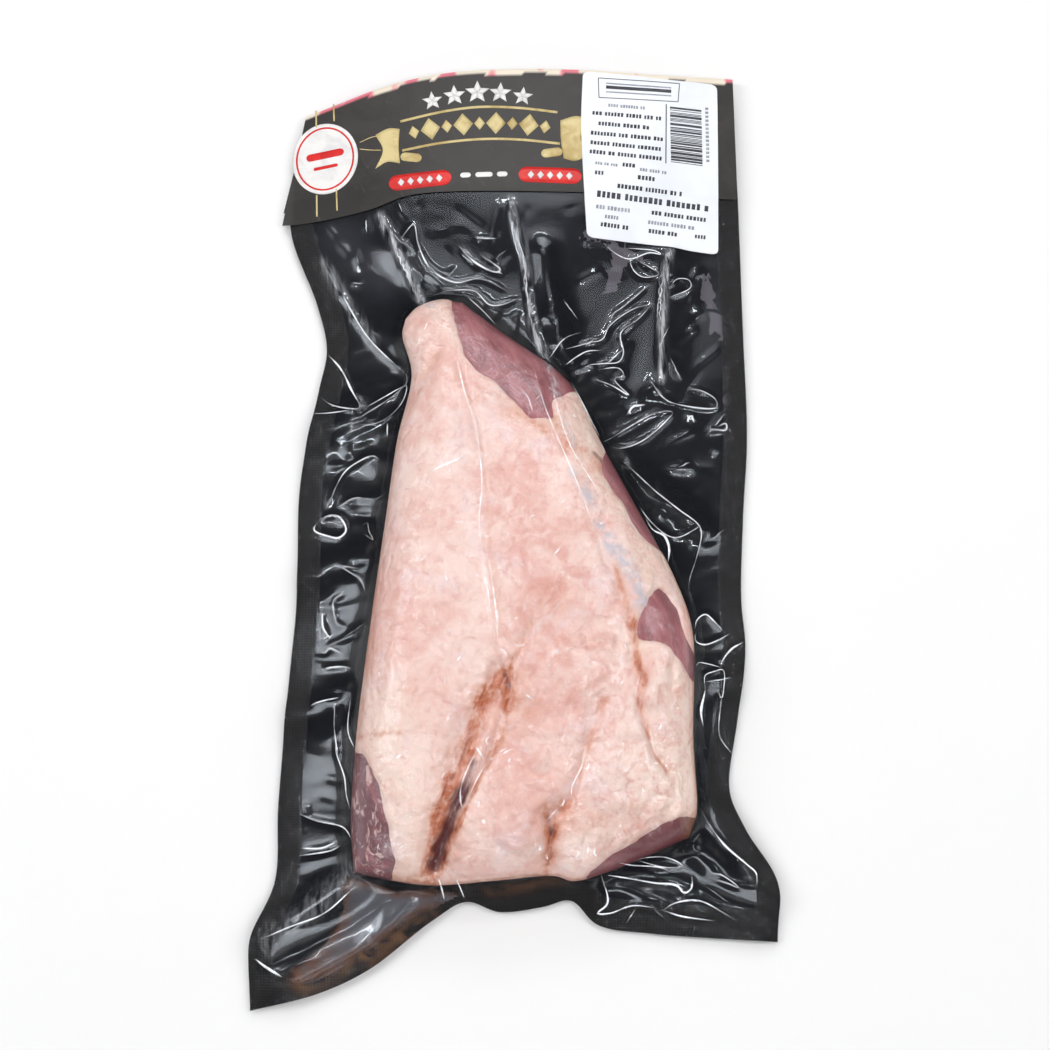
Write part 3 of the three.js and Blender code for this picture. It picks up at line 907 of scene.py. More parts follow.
def add_mesh(name: str, points: Array, faces: Sequence[Sequence[int]],
             marks: Mapping[str, Array]) -> bpy.types.Object:
    """Adds a mesh object from points in the drawing's millimetres.

    Args:
        name: the piece's name.
        points: rows of x, y and z.
        faces: the point numbers of each face.
        marks: numbers for each point that its finish reads, by name.

    Returns:
        The object, in the scene.
    """
    mesh = bpy.data.meshes.new(name)
    mesh.from_pydata(((points - (*DRAWING_MIDDLE, 0.0)) * METRES).tolist(), [], faces)
    for mark, values in marks.items():
        layer = mesh.attributes.new(mark, "FLOAT", "POINT")
        layer.data.foreach_set("value", values.astype(np.float32))
    mesh.update()
    return add_object(name, mesh)


def make_piece(name: str, skin: Skin, marks: Mapping[str, Array] | None = None,
               crisp: float = 50.0) -> bpy.types.Object:
    """Makes a smooth piece, without the points that no face uses.

    Args:
        name: the piece's name.
        skin: its points and its four-sided faces.
        marks: numbers for each point, by name; marks of one face serve both.
        crisp: edges sharper than this angle in degrees stay sharp.

    Returns:
        The object, in the scene.
    """
    points, faces = skin
    used, flat = np.unique(faces, return_inverse=True)
    marks = {mark: np.resize(values, len(points))[used] for mark, values in (marks or {}).items()}
    piece = add_mesh(name, points[used], flat.reshape(faces.shape).tolist(), marks)
    piece.data.polygons.foreach_set("use_smooth", np.ones(len(faces), bool))
    piece.data.set_sharp_from_angle(angle=math.radians(crisp))
    return piece


def settle(piece: bpy.types.Object, finish: "Finish", slot: str, *nodes: str) -> None:
    """Dresses a piece and fixes it to the pack.

    Args:
        piece: the object.
        finish: what it is finished in.
        slot: the record's material slot; not used.
        nodes: the solids that it stands for.
    """
    piece.data.materials.append(finish.material())
    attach(piece, BODY)
    if nodes:
        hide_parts(*nodes)
    count, solids = len(piece.data.polygons), ", ".join(nodes) or "no solid"
    LOG.info("%s: %d faces, for %s", piece.name, count, solids)


def sideways(path: Array) -> Array:
    """Unit steps to the left of a path at each of its points."""
    heading = np.gradient(path, axis=0)
    heading /= np.hypot(*heading.T)[:, None] + 1e-9
    return np.stack([-heading[:, 1], heading[:, 0]], -1)


class Strips:
    """Narrow raised strips on one surface, gathered into one mesh."""

    SINK = -0.06
    SIDES = ((1, 0), (2, 1), (0, 2))

    def __init__(self, surface: Surface) -> None:
        """Starts with no strips.

        Args:
            surface: height of what they lie on.
        """
        self.surface = surface
        self.points: list[Array] = []
        self.faces: list[Array] = []
        self.marks: list[Array] = []
        self.count = 0

    def add(self, path: Array, width: float, lift: float, mark: float) -> None:
        """Adds a strip of three-sided section, uneven and tapered at both ends.

        Args:
            path: rows of points along its middle.
            width: its full width in the middle.
            lift: its height above the surface.
            mark: how bright its painted highlight is.
        """
        share = np.linspace(0, 1, len(path))
        knots = np.random.default_rng(len(self.points)).random(max(len(path) // 4, 2))
        uneven = 0.4 + 1.2 * np.interp(share, np.linspace(0, 1, len(knots)), knots)
        taper = np.clip(np.sin(np.pi * share), 0.06, 1) ** 0.6 * uneven
        reach = (0.5 * width * taper)[:, None] * sideways(path)
        rows = [np.column_stack([corner, self.surface(*corner.T) + rise * taper]) for corner, rise in
                ((path + reach, self.SINK), (path, lift), (path - reach, self.SINK))]
        first = np.arange(len(path) - 1)[:, None] * 3
        body = [first + np.array([[a, b, b + 3, a + 3]]) for a, b in self.SIDES]
        last = 3 * (len(path) - 1)
        caps = np.array([[0, 1, 2, 2], [last + 2, last + 1, last, last]])
        self.points.append(np.stack(rows, 1).reshape(-1, 3))
        self.faces.append(np.vstack([*body, caps]) + self.count)
        self.marks.append(np.repeat(mark * taper, 3))
        self.count += 3 * len(path)

    def piece(self, name: str) -> bpy.types.Object:
        """The strips as one object, with the brightness of their painted highlight as the mark white."""
        faces = [tuple(dict.fromkeys(face)) for face in np.vstack(self.faces).tolist()]
        return add_mesh(name, np.vstack(self.points), faces, {"white": np.concatenate(self.marks)})


# ---- shader sums ----


def paint(red: int, green: int, blue: int) -> Colour:
    """A colour in the linear numbers that shaders take.

    Args:
        red: its red as seen, from 0 to 255.
        green: its green.
        blue: its blue.

    Returns:
        Red, green and blue from 0 to 1, and an alpha of 1.
    """
    seen = [channel / 255 for channel in (red, green, blue)]
    linear = [c / 12.92 if c <= 0.04045 else ((c + 0.055) / 1.055) ** 2.4 for c in seen]
    return (*linear, 1.0)


class Value:
    """A shader socket that can stand in sums."""

    def __init__(self, shader: "Shader", socket: bpy.types.NodeSocket) -> None:
        """Keeps the socket and its shader."""
        self.shader = shader
        self.socket = socket

    def math(self, operation: str, *others: "Value | float", swapped: bool = False) -> "Value":
        """A Math node on this value.

        Args:
            operation: the node's operation.
            others: its other terms.
            swapped: whether this value comes second.

        Returns:
            The result.
        """
        terms = [*others, self] if swapped else [self, *others]
        node = self.shader.add("ShaderNodeMath", {"operation": operation}, dict(enumerate(terms)))
        return Value(self.shader, node.outputs[0])

    def __add__(self, other: "Value | float") -> "Value":
        """This plus another."""
        return self.math("ADD", other)

    def __sub__(self, other: "Value | float") -> "Value":
        """This less another."""
        return self.math("SUBTRACT", other)

    def __rsub__(self, other: "Value | float") -> "Value":
        """Another less this."""
        return self.math("SUBTRACT", other, swapped=True)

    def __mul__(self, other: "Value | float") -> "Value":
        """This times another."""
        return self.math("MULTIPLY", other)

    def __pow__(self, power: float) -> "Value":
        """This to a power."""
        return self.math("POWER", power)

    __radd__ = __add__
    __rmul__ = __mul__

    def clear(self) -> "Value":
        """This held between 0 and 1."""
        return self.math("MINIMUM", 1.0).math("MAXIMUM", 0.0)

    def step(self, low: float, high: float) -> "Value":
        """A smooth step from 0 at low to 1 at high."""
        node = self.shader.add("ShaderNodeMapRange", {"interpolation_type": "SMOOTHSTEP"},
                               {0: self, 1: low, 2: high, 3: 0.0, 4: 1.0})
        return Value(self.shader, node.outputs[0])


class Shader:
    """A material's node tree, built from values."""

    COOL_WHITE = (0.84, 0.91, 1, 1)

    def __init__(self, target: "str | bpy.types.Light") -> None:
        """Starts an empty node tree.

        Args:
            target: a new material's name, or a light.
        """
        self.material = bpy.data.materials.new(target) if isinstance(target, str) else target
        self.material.use_nodes = True
        self.tree = self.material.node_tree
        self.tree.nodes.clear()

    def add(self, kind: str, settings: Mapping[str, object] | None = None,
            inputs: Mapping[int | str, object] | None = None) -> bpy.types.Node:
        """Adds a node.

        Args:
            kind: the node's type.
            settings: its settings, set first.
            inputs: values or links of its sockets.

        Returns:
            The node.
        """
        node = self.tree.nodes.new(kind)
        for name, setting in (settings or {}).items():
            setattr(node, name, setting)
        for key, given in (inputs or {}).items():
            if isinstance(given, Value):
                self.tree.links.new(given.socket, node.inputs[key])
            else:
                node.inputs[key].default_value = given
        return node

    def place(self, stretch: Triple = (1, 1, 1), turn: float = 0.0) -> Value:
        """Places on the piece in millimetres.

        Args:
            stretch: how much longer a millimetre is along each axis.
            turn: turn of the axes about Z in degrees.

        Returns:
            The places.
        """
        source = Value(self, self.add("ShaderNodeTexCoord").outputs["Object"])
        scale = tuple(METRES * part for part in stretch)
        inputs = {"Vector": source, "Rotation": (0, 0, math.radians(turn)), "Scale": scale}
        node = self.add("ShaderNodeMapping", {"vector_type": "TEXTURE"}, inputs)
        return Value(self, node.outputs[0])

    def noise(self, size: float, detail: float = 2.0, rough: float = 0.5, warp: float = 0.0,
              stretch: Triple = (1, 1, 1), turn: float = 0.0) -> Value:
        """Cloudy noise from 0 to 1.

        Args:
            size: size of its blobs in millimetres.
            detail: how many finer layers it has.
            rough: how strong those are.
            warp: how much it is bent by itself.
            stretch: how much longer the blobs are along each axis.
            turn: turn of those axes in degrees.

        Returns:
            The noise.
        """
        inputs = {"Vector": self.place(stretch, turn), "Scale": 1 / size, "Detail": detail,
                  "Roughness": rough, "Distortion": warp}
        return Value(self, self.add("ShaderNodeTexNoise", None, inputs).outputs[0])

    def cells(self, size: float, feature: str = "F1", warp: float = 0.0) -> Value:
        """Distance noise of uneven cells.

        Args:
            size: size of the cells in millimetres.
            feature: which distance is read.
            warp: how far the cells' borders wander, in millimetres.

        Returns:
            The distance, in cells.
        """
        place = self.place()
        swirl = self.add("ShaderNodeTexNoise", None,
                         {"Vector": place, "Scale": 0.8 / size, "Detail": 2.0})
        moved = self.add("ShaderNodeVectorMath", {"operation": "MULTIPLY_ADD"},
                         {0: Value(self, swirl.outputs["Color"]), 1: (warp, warp, warp), 2: place})
        node = self.add("ShaderNodeTexVoronoi", {"feature": feature},
                        {"Vector": Value(self, moved.outputs[0]), "Scale": 1 / size})
        return Value(self, node.outputs["Distance"])

    def ribs(self, pitch: float, turn: float = 0.0) -> Value:
        """Even ribs across the piece, from 0 to 1, at a pitch in millimetres."""
        node = self.add("ShaderNodeTexWave", {"wave_type": "BANDS", "bands_direction": "X"},
                        {"Vector": self.place(turn=turn), "Scale": math.pi / (10 * pitch)})
        return Value(self, node.outputs["Fac"])

    def mark(self, name: str) -> Value:
        """The numbers that a piece's points carry under a name."""
        node = self.add("ShaderNodeAttribute", {"attribute_name": name})
        return Value(self, node.outputs["Fac"])

    def mix(self, share: Value, a: "Value | Colour", b: "Value | Colour") -> Value:
        """A colour between a and b."""
        settings = {"data_type": "RGBA", "clamp_factor": True}
        return Value(self, self.add("ShaderNodeMix", settings, {0: share, 6: a, 7: b}).outputs[2])

    def layers(self, colour: Colour, *coats: "tuple[Value, Value | Colour]") -> Value:
        """Lays colours over one another.

        Args:
            colour: the lowest colour.
            coats: each coat's share, and its colour.

        Returns:
            The colour seen.
        """
        for share, coat in coats:
            colour = self.mix(share, colour, coat)
        return colour

    def knurl(self) -> Value:
        """The fine knurling of a heat seal, where the piece is marked seal."""
        return self.ribs(1.3) * self.ribs(1.1, 90) * self.mark("seal")

    def bump(self, height: Value, depth: float, strength: float = 1.0) -> Value:
        """The normal of a surface with relief of a depth in millimetres."""
        inputs = {"Height": height, "Distance": depth * METRES, "Strength": strength}
        return Value(self, self.add("ShaderNodeBump", None, inputs).outputs[0])

    def body(self, colour: "Value | Colour", roughness: "Value | float", normal: Value | None = None,
             shine: float = 0.5, glow: float = 0.0) -> Value:
        """A solid surface.

        Args:
            colour: its colour.
            roughness: its roughness.
            normal: its relief, if any.
            shine: its specular level.
            glow: how strongly it gives light of its own colour.

        Returns:
            The surface.
        """
        inputs = {"Base Color": colour, "Roughness": roughness, "Specular IOR Level": shine}
        if normal:
            inputs["Normal"] = normal
        if glow:
            inputs |= {"Emission Color": colour, "Emission Strength": glow}
        return Value(self, self.add("ShaderNodeBsdfPrincipled", None, inputs).outputs[0])

    def blend(self, share: "Value | float", a: Value, b: Value) -> Value:
        """A surface that is a where the share is 0 and b where it is 1."""
        node = self.add("ShaderNodeMixShader", None, {0: share, 1: a, 2: b})
        return Value(self, node.outputs[0])

    def clear_surface(self) -> Value:
        """A surface that lets all light through."""
        return Value(self, self.add("ShaderNodeBsdfTransparent").outputs[0])

    def gloss(self, roughness: float, normal: Value) -> Value:
        """A shiny coat of a cool white."""
        inputs = {"Color": self.COOL_WHITE, "Roughness": roughness, "Normal": normal}
        return Value(self, self.add("ShaderNodeBsdfAnisotropic", None, inputs).outputs[0])

    def sheen(self, normal: Value, facing: float = 0.042, cap: float = 0.5) -> Value:
        """How much a clear film mirrors.

        Args:
            normal: its relief.
            facing: the share seen straight on.
            cap: how much is added edge on.

        Returns:
            The share.
        """
        node = self.add("ShaderNodeLayerWeight", None, {"Blend": 0.5, "Normal": normal})
        turned = Value(self, node.outputs["Facing"])
        return facing + cap * turned ** 5

    def finish(self, surface: Value) -> bpy.types.Material:
        """Ends the material with its surface."""
        self.add("ShaderNodeOutputMaterial", None, {"Surface": surface})
        return self.material


# ---- finishes ----


class Finish:
    """What a piece is finished in."""

    def material(self) -> bpy.types.Material:
        """Mixes the finish.

        Returns:
            The material.
        """
        raise NotImplementedError


@dataclass(frozen=True)
class FatFinish(Finish):
    """Pale pink beef fat, moist under the film."""

    pale: Colour = paint(248, 219, 210)
    pink: Colour = paint(237, 191, 180)
    rosy: Colour = paint(225, 162, 149)
    cream: Colour = paint(245, 226, 208)
    silver: Colour = paint(186, 186, 200)
    lilac: Colour = paint(240, 215, 218)
    vein: Colour = paint(206, 132, 128)
    dot: Colour = paint(176, 112, 100)
    rust: Colour = paint(192, 108, 74)
    core: Colour = paint(140, 62, 42)
    tan: Colour = paint(216, 154, 124)
    blood: Colour = paint(92, 38, 38)

    def material(self) -> bpy.types.Material:
        """Mixes the finish.

        Returns:
            The material.
        """
        s = Shader("beef_fat")
        clouds, blotches = s.noise(34, 3, 0.6, 0.6), s.noise(9, 4, 0.66, 0.9)
        speckle, net = s.noise(2.4, 4, 0.72, 0.4), s.cells(8, "DISTANCE_TO_EDGE", 6)
        rough, stain = s.mark("rough"), s.mark("stain")
        seams = (1 - net.step(0.0, 0.12)) * s.noise(6, 3, 0.7, 0.5).step(0.5, 0.66)
        streaky = s.noise(1.5, 2, 0.55, 0.4, (1, 6, 2), -20)
        patch = (0.65 * s.noise(6.5, 3, 0.6, 0.8) + 0.35 * streaky).step(0.36, 0.62)
        core = stain * (0.45 + 0.8 * streaky.step(0.4, 0.64) * patch)
        colour = s.layers(
            self.pale,
            (clouds.step(0.38, 0.62), self.pink),
            (s.noise(21, 3, 0.6, 0.5).step(0.52, 0.66) * 0.55, self.lilac),
            (s.mark("cream") * (0.5 + 0.5 * clouds), self.cream),
            (blotches.step(0.45, 0.7) * (0.3 + 0.3 * rough), self.rosy),
            (s.noise(5, 4, 0.6).step(0.48, 0.66) * 0.6, self.pale),
            (s.mark("pink") * blotches.step(0.3, 0.62), self.rosy),
            (speckle.step(0.52, 0.74) * (0.15 + 0.5 * rough), self.rosy),
            (seams * 0.35, self.vein),
            (s.noise(1.9, 2, 0.6).step(0.73, 0.8) * 0.5, self.dot),
            (s.mark("silver") * s.noise(5, 3, 0.6).step(0.3, 0.6) * 0.85, self.silver),
            (stain * (0.5 + 0.5 * patch), self.tan),
            ((stain * (0.45 + 0.75 * patch)).step(0.25, 1.05) * 0.9, self.rust),
            (core.step(0.8, 1.25) * 0.8, self.core),
            ((s.mark("blood") * (0.6 + 0.8 * streaky)).step(0.1, 1.0), self.blood))
        height = speckle * 0.5 + blotches * 0.8 + net.step(0.0, 0.3) * 0.5
        return s.finish(s.body(colour, 0.46 - 0.12 * clouds, s.bump(height, 0.9, 0.9), 0.45))


@dataclass(frozen=True)
class LeanFinish(Finish):
    """Dusky red lean meat with fine pale flecks."""

    red: Colour = paint(162, 97, 103)
    light: Colour = paint(178, 117, 120)
    deep: Colour = paint(112, 60, 64)
    fleck: Colour = paint(222, 192, 186)
    dusk: Colour = paint(120, 82, 88)
    brown: Colour = paint(132, 90, 70)
    char: Colour = paint(58, 34, 26)

    def material(self) -> bpy.types.Material:
        """Mixes the finish.

        Returns:
            The material.
        """
        s = Shader("beef_lean")
        fibres = s.noise(1.3, 3, 0.6, 0.3, (1, 9, 2), 22)
        bundles = s.noise(6, 4, 0.62, 0.6, (1, 3, 1), 22)
        flecks = s.noise(3.2, 4, 0.68, 0.9, (1, 1.8, 1), 14)
        brown = s.mark("brown")
        colour = s.layers(
            self.red,
            (fibres.step(0.3, 0.7) * 0.7, self.light),
            (bundles.step(0.42, 0.68) * 0.65, self.deep),
            # Painted shade: this mark darkens the lean along the beef's sides, besides a darker near right
            # corner.
            (s.mark("deep"), self.deep),
            (s.mark("dusk") * bundles.step(0.3, 0.6), self.dusk),
            ((s.mark("fleck") * flecks).step(0.52, 0.66) * 0.85, self.fleck),
            (brown * s.noise(4, 3, 0.7).step(0.3, 0.5), self.brown),
            (brown * s.noise(1.5, 3, 0.6).step(0.58, 0.64), self.char))
        return s.finish(s.body(colour, 0.38, s.bump(fibres * 0.5 + bundles * 0.5, 0.5, 0.7)))


@dataclass(frozen=True)
class BackFilmFinish(Finish):
    """Black glossy film, with matte ribbed seals and ragged grey patches of painted reflection."""

    black: Colour = paint(13, 14, 19)
    grey: Colour = paint(88, 84, 92)
    seal: Colour = paint(24, 22, 22)
    rust: Colour = paint(104, 72, 48)
    worn: Colour = paint(22, 24, 31)
    smoke: Colour = paint(52, 52, 60)

    def material(self) -> bpy.types.Material:
        """Mixes the finish.

        Returns:
            The material.
        """
        s = Shader("back_film")
        ragged, fine = s.noise(10, 5, 0.62, 0.6), s.noise(3.2, 3, 0.6)
        haze, seal = s.mark("haze"), s.mark("seal")
        torn = (haze + (ragged - 0.5) * 4.0).step(0.56, 0.6)
        colour = s.layers(
            self.black,
            (fine.step(0.3, 0.8) * 0.5, self.worn),
            # Painted reflection: the ragged grey patches and the paler smooth patch stand for the film
            # mirroring a dim overhead area where the front film lifts off.
            (torn * haze.step(0.02, 0.12), self.grey),
            (s.mark("smoke") * 0.8, self.smoke),
            (seal * (0.7 + 0.3 * fine), self.seal),
            (s.mark("brown") * ragged.step(0.4, 0.62), self.rust))
        normal = s.bump(s.knurl() + fine * 0.4, 0.16, 0.5)
        return s.finish(s.body(colour, 0.26 + 0.2 * seal, normal, 0.16))


@dataclass(frozen=True)
class FrontFilmFinish(Finish):
    """Clear shiny film, milky where it is gathered; its mirroring is cut at the steep wall round the beef
    and along the near end, as painted shade.
    """

    milk: Colour = paint(214, 216, 222)

    def material(self) -> bpy.types.Material:
        """Mixes the finish.

        Returns:
            The material.
        """
        s = Shader("front_film")
        streaks = s.noise(2.0, 3, 0.6, 0.3, (1, 9, 1), 4)
        crinkle = s.noise(4.2, 3, 0.6, 0.5) * (0.2 + 2.8 * s.mark("tight"))
        normal = s.bump(crinkle + 1.1 * s.knurl(), 0.26)
        milky = (s.mark("milky") * streaks.step(0.35, 0.7)).clear()
        film = s.blend(milky, s.clear_surface(), s.body(self.milk, 0.3, normal))
        shine = s.blend(0.22, s.gloss(0.045, normal), s.gloss(0.2, normal))
        # Painted shade: the film's mirroring is cut on the steep wall round the beef and along the near
        # end; on the seals it is lessened because they are matte.
        seal_matte_and_shade = (1 - 0.6 * s.mark("seal")) * (1 - 0.85 * s.mark("wall"))
        return s.finish(s.blend(s.sheen(normal) * seal_matte_and_shade, film, shine))


@dataclass(frozen=True)
class PaintedHighlightFinish(Finish):
    """Painted highlights on the film's creases: white lines, partly see-through and glowing a little, that
    stand for lamps mirrored in the creases.
    """

    white: Colour = paint(246, 249, 255)

    def material(self) -> bpy.types.Material:
        """Mixes the finish.

        Returns:
            The material.
        """
        s = Shader("film_creases")
        broken = s.noise(3.0, 3, 0.7).step(0.34, 0.62)
        share = (s.mark("white") * (0.35 + 0.75 * broken)).clear()
        # The glow makes these painted highlight lines brighter than the lamps alone would light them.
        body = s.body(self.white, 0.22, None, 0.7, 0.3)
        return s.finish(s.blend(share, s.clear_surface(), body))


@dataclass(frozen=True)
class JuiceFinish(Finish):
    """Meat juice under the film, clear grey to rusty brown."""

    grey: Colour = paint(100, 102, 110)
    rust: Colour = paint(126, 82, 60)
    dark: Colour = paint(52, 34, 28)

    def material(self) -> bpy.types.Material:
        """Mixes the finish.

        Returns:
            The material.
        """
        s = Shader("meat_juice")
        mottle, rust = s.noise(5.5, 4, 0.65, 0.8), s.mark("rust")
        colour = s.layers(
            self.grey,
            (rust * (0.4 + 0.6 * mottle.step(0.35, 0.6)), self.rust),
            (rust * mottle.step(0.52, 0.66), self.dark))
        share = (s.mark("thick") * (0.55 + 0.5 * mottle)).clear()
        body = s.body(colour, 0.2, s.bump(mottle, 0.3, 0.5))
        return s.finish(s.blend(share, s.clear_surface(), body))


@dataclass(frozen=True)
class BandFinish(Finish):
    """Satin brownish black printed film, with a cream and pink back panel at the fold."""

    black: Colour = paint(36, 32, 30)
    worn: Colour = paint(58, 53, 51)
    cream: Colour = paint(238, 226, 208)
    pink: Colour = paint(232, 120, 136)
    scuff: Colour = paint(96, 92, 92)

    def material(self) -> bpy.types.Material:
        """Mixes the finish.

        Returns:
            The material.
        """
        s = Shader("printed_band")
        clouds, scuffs = s.noise(24, 4, 0.6, 0.8), s.noise(2.4, 4, 0.7, 0.5, (1, 5, 1), 30)
        blocks = s.noise(16, 2, 0.5, 0.0, (1, 3, 1)).step(0.5, 0.56)
        colour = s.layers(
            self.black,
            (clouds.step(0.4, 0.7) * 0.55, self.worn),
            (scuffs.step(0.62, 0.72) * 0.3, self.scuff),
            (s.mark("panel"), s.mix(blocks, self.cream, self.pink)))
        normal = s.bump(clouds * 0.6 + scuffs * 0.2, 0.5, 0.5)
        return s.finish(s.body(colour, 0.34 + 0.14 * clouds, normal))


class Ink(Enum):
    """The inks, each with its two shades."""

    GOLD = (paint(222, 203, 146), paint(190, 164, 102))
    WHITE = (paint(244, 242, 240), paint(226, 224, 224))
    RED = (paint(228, 34, 28), paint(206, 24, 22))
    DARK = (paint(52, 54, 62), paint(76, 78, 88))
    FAINT = (paint(150, 154, 166), paint(182, 186, 196))


@dataclass(frozen=True)
class InkFinish(Finish):
    """Printed ink."""

    ink: Ink
    shine: float = 0.38

    def material(self) -> bpy.types.Material:
        """Mixes the finish.

        Returns:
            The material.
        """
        s = Shader(f"ink_{self.ink.name.lower()}")
        colour = s.mix(s.noise(9, 4, 0.6, 0.5).step(0.4, 0.68), *self.ink.value)
        normal = s.bump(s.noise(0.9, 2, 0.6), 0.04, 0.5)
        return s.finish(s.body(colour, self.shine, normal))


@dataclass(frozen=True)
class PaperFinish(Finish):
    """White coated label paper."""

    white: Colour = paint(244, 247, 252)
    shade: Colour = paint(226, 231, 242)

    def material(self) -> bpy.types.Material:
        """Mixes the finish.

        Returns:
            The material.
        """
        s = Shader("label_paper")
        soft, grain = s.noise(30, 3, 0.5), s.noise(0.6, 2, 0.6)
        colour = s.mix(soft.step(0.4, 0.75) * 0.6, self.white, self.shade)
        normal = s.bump(grain * 0.3 + s.noise(14, 2, 0.5), 0.12, 0.5)
        return s.finish(s.body(colour, 0.42 + 0.1 * grain, normal))


@dataclass(frozen=True)
class TableFinish(Finish):
    """Plain pale table top."""

    white: Colour = paint(250, 250, 250)
    shade: Colour = paint(240, 240, 242)

    def material(self) -> bpy.types.Material:
        """Mixes the finish.

        Returns:
            The material.
        """
        s = Shader("table")
        return s.finish(s.body(s.mix(s.noise(120, 2, 0.5) * 0.3, self.white, self.shade), 0.85))

# ---- the beef ----

STAINS = lines(
    (0.9, 3.4, -1.8, -70, -11, -78, -15.3, -91.5, -20, -105, -27.4, -120, -32.6, -150),
    (0.8, 2.6, -19, -104, -27.4, -120, -31.6, -140, -33, -151),
    (0.8, 1.6, -2, -80, -3.4, -93, -10.9, -108.6, -18.3, -123.5, -29.9, -147),
    (0.5, 1.5, 7.4, -51.3, 2.6, -61.4, -1.8, -70, -2, -80),
    (0.4, 5, 0.6, -70, -1, -78, 5, -88),
    (0.6, 1.8, 41.5, -28, 45.8, -43.5, 48.9, -56),
    (1, 2, 47.5, -50, 50, -65.5, 52.3, -73),
    (0.7, 1.1, *THIN_FOLD),
    (0.55, 1.7, *MIDDLE_FOLD),
    (1, 3.4, *NEAR_FOLD),
    (0.6, 4.5, 20, -124, 15, -133),
    (0.3, 8, *FIRST_GROOVE),
    (0.25, 2.4, 23.6, -120, 34, -128),
    (0.35, 2.4, *TOP_FOLD),
    (0.4, 1.6, -5.8, 45, 2.5, 38.6, 12.9, 29),
    (0.35, 3, *TIP_FOLD),
    (0.3, 1.6, -10.6, 0, -9.7, -15, -7.4, -37, -5.2, -57),
    (0.5, 2.8, 16.2, 35.6, 24, 24, 31.8, 21, 36.6, 12.6),
    (0.4, 2, -57, -57, -61.3, -82, -63, -96),
    (0.5, 1.2, -62, -95.5, -45, -94.7),
    (0.18, 9, 18, -45, 30, -56),
    (0.5, 1.6, 38, -145, 60, -132, 74, -126),
    (0.5, 2.4, -50, -151, -30, -154),
)
BLOOD = lines(
    (0.7, 2, -16, -106, -19.5, -117, -22, -123),
    (0.95, 3.1, -20.5, -118, -26, -131, -31.5, -146),
    (0.7, 1.2, -3.2, -71, -1.8, -76.4),
    (0.6, 0.8, -16.5, -93, -20.5, -104, -24.5, -113),
    (0.6, 1.8, 13.8, -128, 15, -133),
    (0.45, 1.8, 15, -133, 13.6, -146),
    (0.35, 1.2, 50, -66, 52.3, -73),
    (0.6, 1.2, 33, 22, 41, 14, 45, 6, 51, -7),
)
SILVER = lines(
    (0.9, 2, 29, 6, 32, -2, 35.5, -10, 40, -18.4),
    (0.9, 3.2, 40, -18, 45.2, -25.4, 50, -35, 53.4, -47),
    (0.5, 1.6, 24, 12, 30, 0),
    (0.2, 7, -18, 36, -20, 20),
)
CREAM = lines(
    (0.9, 6, 30, 52, 34, 20, 46, 4, 60, -18, 72, -34),
    (0.7, 10, 66, -70, 70, -90, 68, -120),
    (0.6, 5, -34, 90, -24, 74, -10, 56, 4, 40, 18, 34),
    (0.8, 5, 52, -20, 56, -40, 50, -60),
    (0.55, 11, -40, -140, -48, -110, -50, -80),
    (0.4, 14, 30, -130, 50, -110),
)
PINK = lines(
    (0.6, 15, 0, 10, 8, -30, 6, -58),
    (0.45, 8, -52, -20, -57, -60),
    (0.3, 14, -36, -50, -30, -70),
    (0.4, 12, 8, -78, 0, -104),
    (0.5, 9, 34, -64, 24, -84),
    (0.4, 10, -4, -10, 14, -34),
    (0.4, 10, -2, -136, 10, -120),
)


def painted(x: Array, y: Array, wander: Array, **streaks: Sequence[Line]) -> dict[str, Array]:
    """How strongly streaks mark places.

    Args:
        x: places across.
        y: places along.
        wander: how far the streaks' edges wander, in widths.
        streaks: the streaks of each mark.

    Returns:
        Numbers from 0 to 1 under each mark's name.
    """
    marks = {}
    for name, streak_list in streaks.items():
        clear = np.ones(np.shape(x))
        for streak in streak_list:
            distance = nearest(x, y, Curve(streak.path).run(2.5))[0] + wander * streak.width
            clear *= 1 - streak.strength * bell(np.maximum(distance, 0), streak.width)
        marks[name] = np.clip(1 - clear, 0, 1)
    return marks


